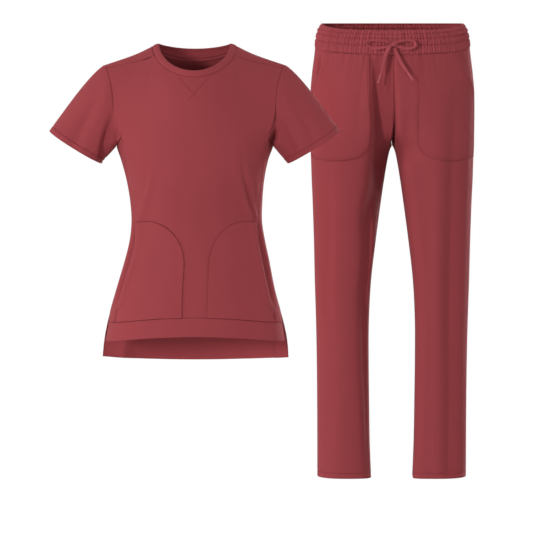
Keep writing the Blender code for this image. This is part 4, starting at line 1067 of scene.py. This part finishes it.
# height, x, width to the left, width to the right, depth (below 0 a ridge) down each long fold of the fronts
LEG_FRONT_FOLDS = [
    [(-30, -44, 5, 18, 0), (-60, -42, 5, 18, 10), (-100, -39.5, 6.5, 21, 18), (-150, -37, 7.5, 26, 25),
     (-200, -34, 9.5, 30, 30), (-250, -32, 13, 34, 31), (-310, -34, 15, 26, 24), (-370, -42, 15, 16, 10),
     (-420, -50, 15, 14, 0)],
    [(-320, -50, 13, 12, 0), (-380, -53, 15, 10, 17), (-450, -50, 15, 9, 27), (-520, -54, 15, 9, 29),
     (-562, -56, 16, 9, 28), (-650, -54, 16, 9, 26), (-737, -51, 16, 9, 23), (-868, -48, 15, 9, 14),
     (-960, -50, 14, 9, 5)],
    [(-24, -160, 4, 4, 0), (-42, -162, 5, 4, 14), (-68, -165, 5, 4, 14), (-88, -168, 4, 4, 0)],
    [(-120, -140, 14, 14, 0), (-300, -144, 14, 12, 2.5), (-430, -142, 12, 11, 5.5), (-560, -147, 12, 12, 4.5),
     (-700, -138, 16, 14, 2.5), (-880, -146, 14, 16, 4), (-960, -146, 14, 16, 1)],
    [(-12, -5, 5, 7, 0), (-30, -6, 5, 7, 5), (-60, -7, 5, 7, 6.5), (-95, -7, 6, 8, 4), (-130, -8, 8, 8, 0)],
    [(-50, -70, 8, 7, 0), (-90, -72, 9, 7, 1.5), (-160, -76, 10, 8, 1.5), (-260, -84, 12, 12, 0)],
    [(-40, 0, 24, 8, 0), (-80, -2, 26, 8, 6), (-140, -4, 28, 9, 13), (-195, -6, 24, 9, 13), (-235, -8, 20, 9, 6),
     (-280, -10, 18, 9, 0)],
    [(-80, 138, 14, 45, 0), (-150, 134, 16, 50, 8), (-240, 132, 16, 50, 13), (-330, 130, 16, 50, 16),
     (-430, 129, 16, 50, 17), (-560, 128, 16, 50, 18), (-650, 128, 16, 48, 17), (-740, 129, 16, 46, 16),
     (-870, 128, 15, 44, 13), (-960, 127, 14, 42, 10)],
    [(-90, 10, 6, 16, 0), (-140, 9, 6, 16, -4), (-180, 8, 5, 16, -10), (-205, 8, 5, 16, -14),
     (-228, 12, 6, 16, -12), (-262, 22, 8, 18, -7), (-310, 30, 10, 18, -3), (-360, 36, 12, 18, 0)],
    [(-330, 92, 16, 16, 0), (-440, 96, 18, 18, -1.5), (-560, 92, 18, 18, -1.5), (-700, 90, 18, 18, 0)],
]
# from x, from z, to x, to z, width to the left, width to the right, depth of each soft trough of the backs
LEG_BACK_FOLDS = [
    (-44, -160, -70, -300, 18, 18, 6),
    (46, -150, 72, -290, 18, 18, 6),
    (-110, -320, -100, -560, 22, 22, 4),
    (104, -300, 116, -540, 22, 22, 4),
    (-88, -540, -120, -640, 16, 16, 4),
    (92, -560, 124, -650, 16, 16, 4),
]
LEG_END = (-965.5, -1.5)     # the hem's height at the side, and how much lower its front is
WAIST_SEAM = (-10, -15.3)    # height at the sides and back, and how much lower the front is
TUCK_ANGLE, TUCK_DEPTH, TUCK_REACH = 5, 1.1, 115     # of the short folds under the waistband
LEGS_PART = -222             # below this the right leg's front runs on to its inner side, and the left one's turns in


def leg_section(z):
    """Centre, half width, front and back depth of one leg's section at a height."""
    outer, inner, front, back = read(LEG, z)
    return (outer + inner) / 2, (outer - inner) / 2, front, back


def leg(angle, z, side):
    """A leg at an angle (0 outside, -90 in front) and a height; side is 1 or -1."""
    centre, half_width, front, back = leg_section(z)
    c, s = turned(angle)
    x, y = centre + half_width * full(c), np.where(s < 0, front, back) * full(s)
    fuller = 0.6 if side > 0 else -0.55 + 0.95 * smooth((-330 - z) / 150)
    fuller = fuller * smooth(-1.6 * c) * smooth((LEGS_PART - z) / 60) * (s < 0)
    y = y * np.maximum(np.abs(s), 1e-6) ** -fuller
    depth = np.where(s < 0, winding_depth(LEG_FRONT_FOLDS, side * x, z), fold_depth(LEG_BACK_FOLDS, side * x, z))
    depth = depth * np.minimum(1, np.abs(s) * 2.5)
    round_waist = np.arctan2(np.abs(y) / 95, x / 171) * 360 / TUCK_ANGLE
    under = np.clip((WAIST_SEAM[0] - z) / TUCK_REACH, 0, 1)
    fade = smooth(under / 0.12) * (1 - under) ** 1.5
    tucks = (np.cos(round_waist + 0.9 * np.sin(round_waist * 0.23 + side))
             + 0.6 * np.cos(round_waist * 0.57 + 1.1 * side))
    depth = depth + TUCK_DEPTH * tucks * fade * np.abs(s)
    return point(x - c * 0.3 * depth, y - s * depth, z)


def waist_height(levels, angle):
    """The height of a line round the waistband: level behind, dipping in front."""
    return levels[0] + levels[1] * full(np.maximum(0, -turned(angle)[1]))


HEM_RUN, WAIST_RUN = 14.5, 58      # how far up, and down, the slant of each end reaches


def leg_panel(side, front):
    """The surface of one leg panel, u from its first edge to its second, v its plain height."""
    def surface(u, v):
        guess = -90 * (1 - u) if front else 90 * u
        low = np.clip((LEG_END[0] + HEM_RUN - v) / HEM_RUN, 0, 1)
        high = np.clip((v - WAIST_SEAM[0] + WAIST_RUN) / WAIST_RUN, 0, 1)
        z = (v + low * LEG_END[1] * np.maximum(0, -turned(guess)[1])
             + high * (waist_height(WAIST_SEAM, guess) - WAIST_SEAM[0] - 0.3))
        centre, half_width, _, _ = leg_section(z)
        reach = angle_of(-(centre - 0.15) / half_width) - SEAM_ANGLE
        if front:
            return leg(-reach * (1 - u) - SEAM_ANGLE * u, z, side)
        return leg(SEAM_ANGLE * (1 - u) + reach * u, z, side)

    return surface


trouser_cloth = stretch_twill("stretch_twill_woven_trousers", "#8F3A3F", seed=0.37)
LEG_HEM, LEG_PIECE_WIDE = 12, 260
leg_up = np.concatenate([LEG_END[0] + spaced(715, 6.5, fine=(0, LEG_HEM), reach=3),
                         -250.5 + spaced(240.5, 3.6, fine=(240.5,), reach=3)[1:]])
for side, name in ((1, "right"), (-1, "left")):
    for is_front, part in ((True, "front"), (False, "back")):
        across = shares(LEG_PIECE_WIDE, 3.2 if is_front else 5, reach=4)
        points = grid(leg_panel(side, is_front), across, leg_up)
        outer, inner = ("right", "left") if is_front else ("left", "right")
        points = pressed(points, {outer: [ROLL], inner: [(0, 1.5, 0.3)], "top": [ROLL],
                                  "bottom": [(0, 0.8, 0.4), (LEG_HEM, 0.9, 0.6)]})
        if side < 0:
            points = flip(points)[:, ::-1]
        points = points + TROUSERS_AT
        allowances = ("left", "right") if is_front else (("right",) if side > 0 else ("left",))
        piece = wall("leg_%s_cloth_%s" % (part, name), lapped(points, allowances), trouser_cloth, swayed=False)
        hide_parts("leg_%s_%s" % (part, name))
        sewn("leg_hem_sewing_%s_%s" % (part, name), [inset(points, "bottom", LEG_HEM)], swayed=False)

# ---------------------------------------------------------------- pockets of the trousers
# Two patch pockets laid on the leg fronts, sewn with two close rows round the inner edge and the bottom.
# Their openings slant from the waistband out to the side seams, and gape a little.

POCKET_LEFT = 53
SLANT_LIFT = 4
# along the bottom edge from the inner edge to the side seam: part, x, z
POCKET_BOTTOM = [
    (0, 53, -212), (0.14, 57, -232), (0.28, 70, -247), (0.45, 95, -256),
    (0.7, 136, -259.5), (1, 177.6, -253.5),
]
# up the outer edge: part, share of the leg's width from its centre, height
POCKET_SIDE = [
    (0, 0.978, -253.5), (0.3, 0.978, -180), (0.58, 0.978, -108), (0.8, 0.895, -66),
    (1, 0.82, -19.5),
]


def leg_pocket_place(u, v):
    """A place on a trouser pocket as an angle and a height, u from the inner edge out, v upward."""
    def place(x, z):
        centre, half_width, _, _ = leg_section(z)
        return point(angle_of((x - centre) / half_width), 0, z)

    def bottom(k):
        return place(*read(POCKET_BOTTOM, k))

    def outer(k):
        share, z = read(POCKET_SIDE, k)
        return point(angle_of(share), 0, z)

    one, zero = np.float64(1), np.float64(0)

    def top(k):
        z = waist_height(WAIST_SEAM, -90) - 1.2
        inner_angle = place(POCKET_LEFT, z)[0]
        angle = inner_angle + (outer(one)[0] - inner_angle) * k
        return point(angle, 0, waist_height(WAIST_SEAM, -angle) - 1.2)

    def inner(k):
        z = bottom(zero)[2] + (top(zero)[2] - bottom(zero)[2]) * k
        return place(np.full_like(z, POCKET_LEFT), z)

    return patch(u, v, bottom, top, inner, outer)


pocket_u, pocket_v = np.meshgrid(shares(140, 4, reach=4), shares(235, 4, reach=4))
place = leg_pocket_place(pocket_u, pocket_v)
slant = smooth((pocket_u - 0.7) / 0.3) * smooth((pocket_v - 0.5) / 0.2) * smooth((1 - pocket_v) / 0.2)
lift = LAID + POCKET_CLOTH + 0.5 * pocket_u + SLANT_LIFT * slant
for side, name in ((1, "right"), (-1, "left")):
    points = laid(lambda angle, z: leg(angle, z, side), -place[..., 0], place[..., 2], lift)
    points = pressed(points, dict(left=[(0, 1, 0.3)], bottom=[(0, 1, 0.4), (6, 0.8, 0.2)],
                                  right=[(0, 1, 0.3), (2, 0.8, 0.5), (9, 0.9, 0.7)]))
    lines = [inset(points, edge, away) for edge, away in (
        ("left", 1.4), ("left", 6), ("bottom", 1.4), ("bottom", 6), ("right", 2), ("right", 9))]
    if side < 0:
        points = flip(points)[:, ::-1]
        lines = [(flip(line), flip(out)) for line, out in lines]
    points, lines = points + TROUSERS_AT, [(line + TROUSERS_AT, out) for line, out in lines]
    piece = wall("leg_pocket_cloth_" + name, points, trouser_cloth, thick=POCKET_CLOTH, swayed=False)
    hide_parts("leg_pocket_" + name)
    sewn("leg_pocket_sewing_" + name, lines, swayed=False, finer=0.75)

# ---------------------------------------------------------------- waistband
# A doubled band of the cloth over wide elastic, stretched while three rows are sewn through it, so that it
# gathers into fine ridges between the rows when it draws in.

# part of the way up, half width, front depth, back depth of the waistband
WAISTBAND = [
    (0, 171.6, 95.6, 93.6),
    (0.39, 169, 94, 92),
    (0.65, 166, 92, 90),
    (0.84, 162.6, 89.5, 88),
    (1, 155.5, 85.5, 84),
]
WAIST_EDGE = (42.5, -15.3)
SEWN_ROWS = (0.37, 0.64, 0.84)
GATHERS, GATHER_DEPTH, POINTS_A_GATHER = 158, 1.8, 6
PUFF, ROW_PULL, ROW_WIDTH = 1.1, 2.2, 0.036      # how far the band puffs out, and how a sewn row draws it in
EDGE_PULLS, EDGE_WIDTH = (1.6, 1), 0.05          # the same at its seam and at its fold


def waistband(turn, part):
    """The elastic waistband; turn counts gathers round it."""
    angle = 360 * turn / GATHERS + 0.35 * np.sin(np.radians(turn * 82))
    half_width, front, back = read(WAISTBAND, part)
    c, s = turned(angle)
    low, high = waist_height(WAIST_SEAM, angle), waist_height(WAIST_EDGE, angle)
    lean = 0.12 * np.sin(turn * 1.7) * (part - 0.5)
    phase = 2 * np.pi * (turn + lean) + 0.8 * np.sin(turn * 2.9 + part * 3)
    ridge = np.cos(phase) - 0.28 * np.cos(2 * phase)
    strength = 0.75 + 0.25 * np.sin(turn * 1.9 + 0.5) * np.cos(turn * 0.7)
    puff = PUFF
    for row in SEWN_ROWS:
        puff = puff - ROW_PULL * bump(part - row, ROW_WIDTH)
    for edge, pull in enumerate(EDGE_PULLS):
        puff = puff - pull * bump(part - edge, EDGE_WIDTH)
    quiet = 1 - 0.35 * smooth((0.3 - part) / 0.3)
    base = point(half_width * full(c), np.where(s < 0, front, back) * full(s), low + (high - low) * part)
    return base + point(full(c), full(s), 0) * (GATHER_DEPTH * strength * quiet * ridge + puff)[..., None]


band_up = shares(56, 2.2, fine=[56 * r for r in SEWN_ROWS] + [0, 56], reach=2, small=0.9)
points = grid(waistband, np.arange(0, GATHERS, 1 / POINTS_A_GATHER), band_up) + TROUSERS_AT
# The band's cloth is painted a step lighter than the legs': painted light that offsets the shade in its gathers.
gathered_cloth_painted_lighter = stretch_twill("stretch_twill_gathered_painted_lighter", "#984147", seed=0.53)
piece = wall("waistband_cloth", lapped(points, ("bottom",), reach=4, under=2, ring=True), gathered_cloth_painted_lighter, thick=2.2,
             ring=True, swayed=False, reverse=painted_light_reverse)
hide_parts("waistband")
around = np.arange(0, GATHERS + 0.01, 0.25)
c, s = turned(360 * around / GATHERS)
rows = [(waistband(around, np.full_like(around, row)) + TROUSERS_AT, point(full(c), full(s), 0)) for row in SEWN_ROWS]
sewn("waistband_sewing", rows, swayed=False, finer=0.55)

# ---------------------------------------------------------------- drawstring
# A flat cord sewn from a folded strip of the same cloth, tied in a bow at the front. Its two free ends
# hang down and are pinched into narrow tips.

CORD_WIDTH, CORD_THICK, CORD_SIDES, CORD_STEPS = 7.4, 1.7, 16, 48
KNOT_AT = (0, -101.6, -3.4)
LEFT_LOOP = [(-6.9, -102.7, -0.6), (-20, -106, 3.6), (-38, -106.6, 5.4), (-52, -104.4, 4.9),
             (-58.6, -103.2, 0.4), (-56.5, -103.2, -6.6), (-46, -104, -11), (-34, -104.4, -11.8),
             (-20, -104.2, -9.4), (-6.9, -102.7, -6.6)]
RIGHT_LOOP = [(6.9, -102.7, -0.6), (18, -106, 3.4), (29, -107, 5.4), (39, -106.4, 4.8),
              (46.4, -105, 0.2), (45.8, -104.8, -7), (37.5, -105, -12), (27, -105.2, -12.4),
              (18, -105, -9.6), (6.9, -102.8, -6.6)]
LEFT_TAIL = [(-6.7, -107.2, -6.6), (-11.6, -109.4, -11), (-15.8, -110, -18), (-18.5, -109.8, -27),
             (-20.3, -110.8, -36), (-22.8, -112.6, -46), (-25.6, -114.4, -56), (-29.4, -116.4, -68.6)]
RIGHT_TAIL = [(1, -106, -10.9), (3.8, -109.2, -18.6), (7.8, -111, -27), (12, -112.4, -36),
              (17, -114.6, -45.5), (23, -117.4, -55), (30.4, -120.2, -65.8)]
cord_cloth = stretch_twill("stretch_twill_sewn_into_cord", "#9A434A", seed=0.81)


def closed_tube(rings, around, inward=False):
    """Faces between rings of points, and one across each end."""
    ids = np.arange(rings * around).reshape(rings, around)
    beside = np.roll(ids, -1, 1)
    faces = np.stack([ids[:-1], beside[:-1], beside[1:], ids[1:]], -1).reshape(-1, 4).tolist()
    faces += [ids[0][::-1].tolist(), ids[-1].tolist()]
    return [face[::-1] for face in faces] if inward else faces


def ribbon(name, route, facing, narrow=None):
    """A flat cord as a closed band along a route; facing gives the direction of its flat face along it."""
    t = np.linspace(0, len(route) - 1, CORD_STEPS)
    line = point(*read([(float(n), *p) for n, p in enumerate(route)], t)) + TROUSERS_AT
    ahead = unit(np.gradient(line, axis=0))
    face = point(*read([(part * (len(route) - 1), *d) for part, *d in facing], t))
    aside = unit(np.cross(ahead, face))
    face = np.cross(aside, ahead)
    widths = np.ones(CORD_STEPS) if narrow is None else read(narrow, t / (len(route) - 1))[0]
    rows = []
    for k in range(CORD_SIDES):
        c, s = turned(360 * k / CORD_SIDES)
        across = np.sign(c) * abs(c) ** 0.7 * CORD_WIDTH / 2
        high = np.sign(s) * abs(s) ** 0.8 * CORD_THICK / 2 * (1 - 0.25 * bump(abs(across) - CORD_WIDTH * 0.3, 0.7))
        rows.append(line + aside * (across * widths)[:, None] + face * high)
    rows = np.array(rows).swapaxes(0, 1).reshape(-1, 3)
    lengths = run(line[None], 1)[0]
    flat = point(np.linspace(0, CORD_WIDTH * 2, CORD_SIDES)[None, :], lengths[:, None], 0)[..., :2].reshape(-1, 2)
    piece = make_mesh(name, rows, closed_tube(CORD_STEPS, CORD_SIDES, inward=True), cord_cloth, flat)
    return piece, line, lengths[-1] * MM


loop_facing = [(0, 0, 0.7, 0.7), (0.25, 0, 0.85, 0.55), (0.45, -0.6, 0.75, 0.3), (0.55, -0.6, 0.75, -0.3),
               (0.75, 0, 0.9, -0.45), (1, 0, 0.7, -0.7)]
for side, name, route in ((-1, "left", LEFT_LOOP), (1, "right", RIGHT_LOOP)):
    facing = [(part, x * -side, y, z) for part, x, y, z in loop_facing]
    piece, line, length = ribbon("drawstring_bow_" + name, route, facing)
    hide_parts("drawstring_loop_" + name)

# The tips: the cord's ends rolled tight and sealed in a clear acetate sleeve, smoother than the cord.
tip_sleeve = spun_thread("acetate_sleeve_rolled", "#A9585F")
tip_sleeve.node_tree.nodes["Principled BSDF"].inputs["Roughness"].default_value = 0.35
# distance past the cord's end, radius
TIP_PROFILE = [(-0.6, 1.25), (0.4, 1.5), (1.2, 1.45), (17.5, 1.3), (19.6, 1.2), (20.6, 0.9), (21, 0.4)]
for name, route, lean in (("left", LEFT_TAIL, -0.3), ("right", RIGHT_TAIL, 0.3)):
    piece, line, length = ribbon("drawstring_end_" + name, route, [(0, lean, -1, 0.1), (1, -lean, -1, 0.1)],
                                 narrow=[(0, 0.9), (0.2, 1), (0.85, 0.95), (0.95, 0.75), (1, 0.42)])
    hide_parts("drawstring_tail_" + name)
    ahead = unit(line[-1] - line[-3])
    aside = unit(np.cross(ahead, (0, 1, 0)))
    face = np.cross(aside, ahead)
    rows = np.array([[line[-1] + ahead * d + (aside * math.cos(a) + face * math.sin(a)) * r
                      for a in np.linspace(0, 2 * np.pi, CORD_SIDES, endpoint=False)] for d, r in TIP_PROFILE])
    faces = closed_tube(len(TIP_PROFILE), CORD_SIDES)
    tip = make_mesh("drawstring_tip_" + name, rows.reshape(-1, 3), faces, tip_sleeve)
    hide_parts("aglet_" + name)

# The knot: one turn of the cord wrapped over the middle of the bow and pulled flat.
KNOT_SIZE = (7.8, 4.8, 5.8)
u, v = np.meshgrid(np.linspace(0, 2 * np.pi, 49)[:-1], np.linspace(-1, 1, 25))
wrap = np.maximum(np.cos(np.pi / 2 * np.abs(v) ** 1.6), 0.02)
ply = 1 + 0.10 * np.cos(3 * (u + 1.4 * v)) + 0.05 * np.cos(7 * v + 2 * u)
knot = point(KNOT_SIZE[0] * np.sin(np.pi / 2 * v) * (1 + 0.06 * np.cos(2 * u)),
             -KNOT_SIZE[1] * wrap * np.cos(u) * ply, KNOT_SIZE[2] * wrap * np.sin(u) * ply)
knot = knot + np.array(KNOT_AT) + TROUSERS_AT
piece = make_mesh("drawstring_knot_cloth", knot.reshape(-1, 3), closed_tube(*knot.shape[:2]), cord_cloth,
                  np.stack([u * 5, v * 9], -1).reshape(-1, 2))
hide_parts("drawstring_knot")
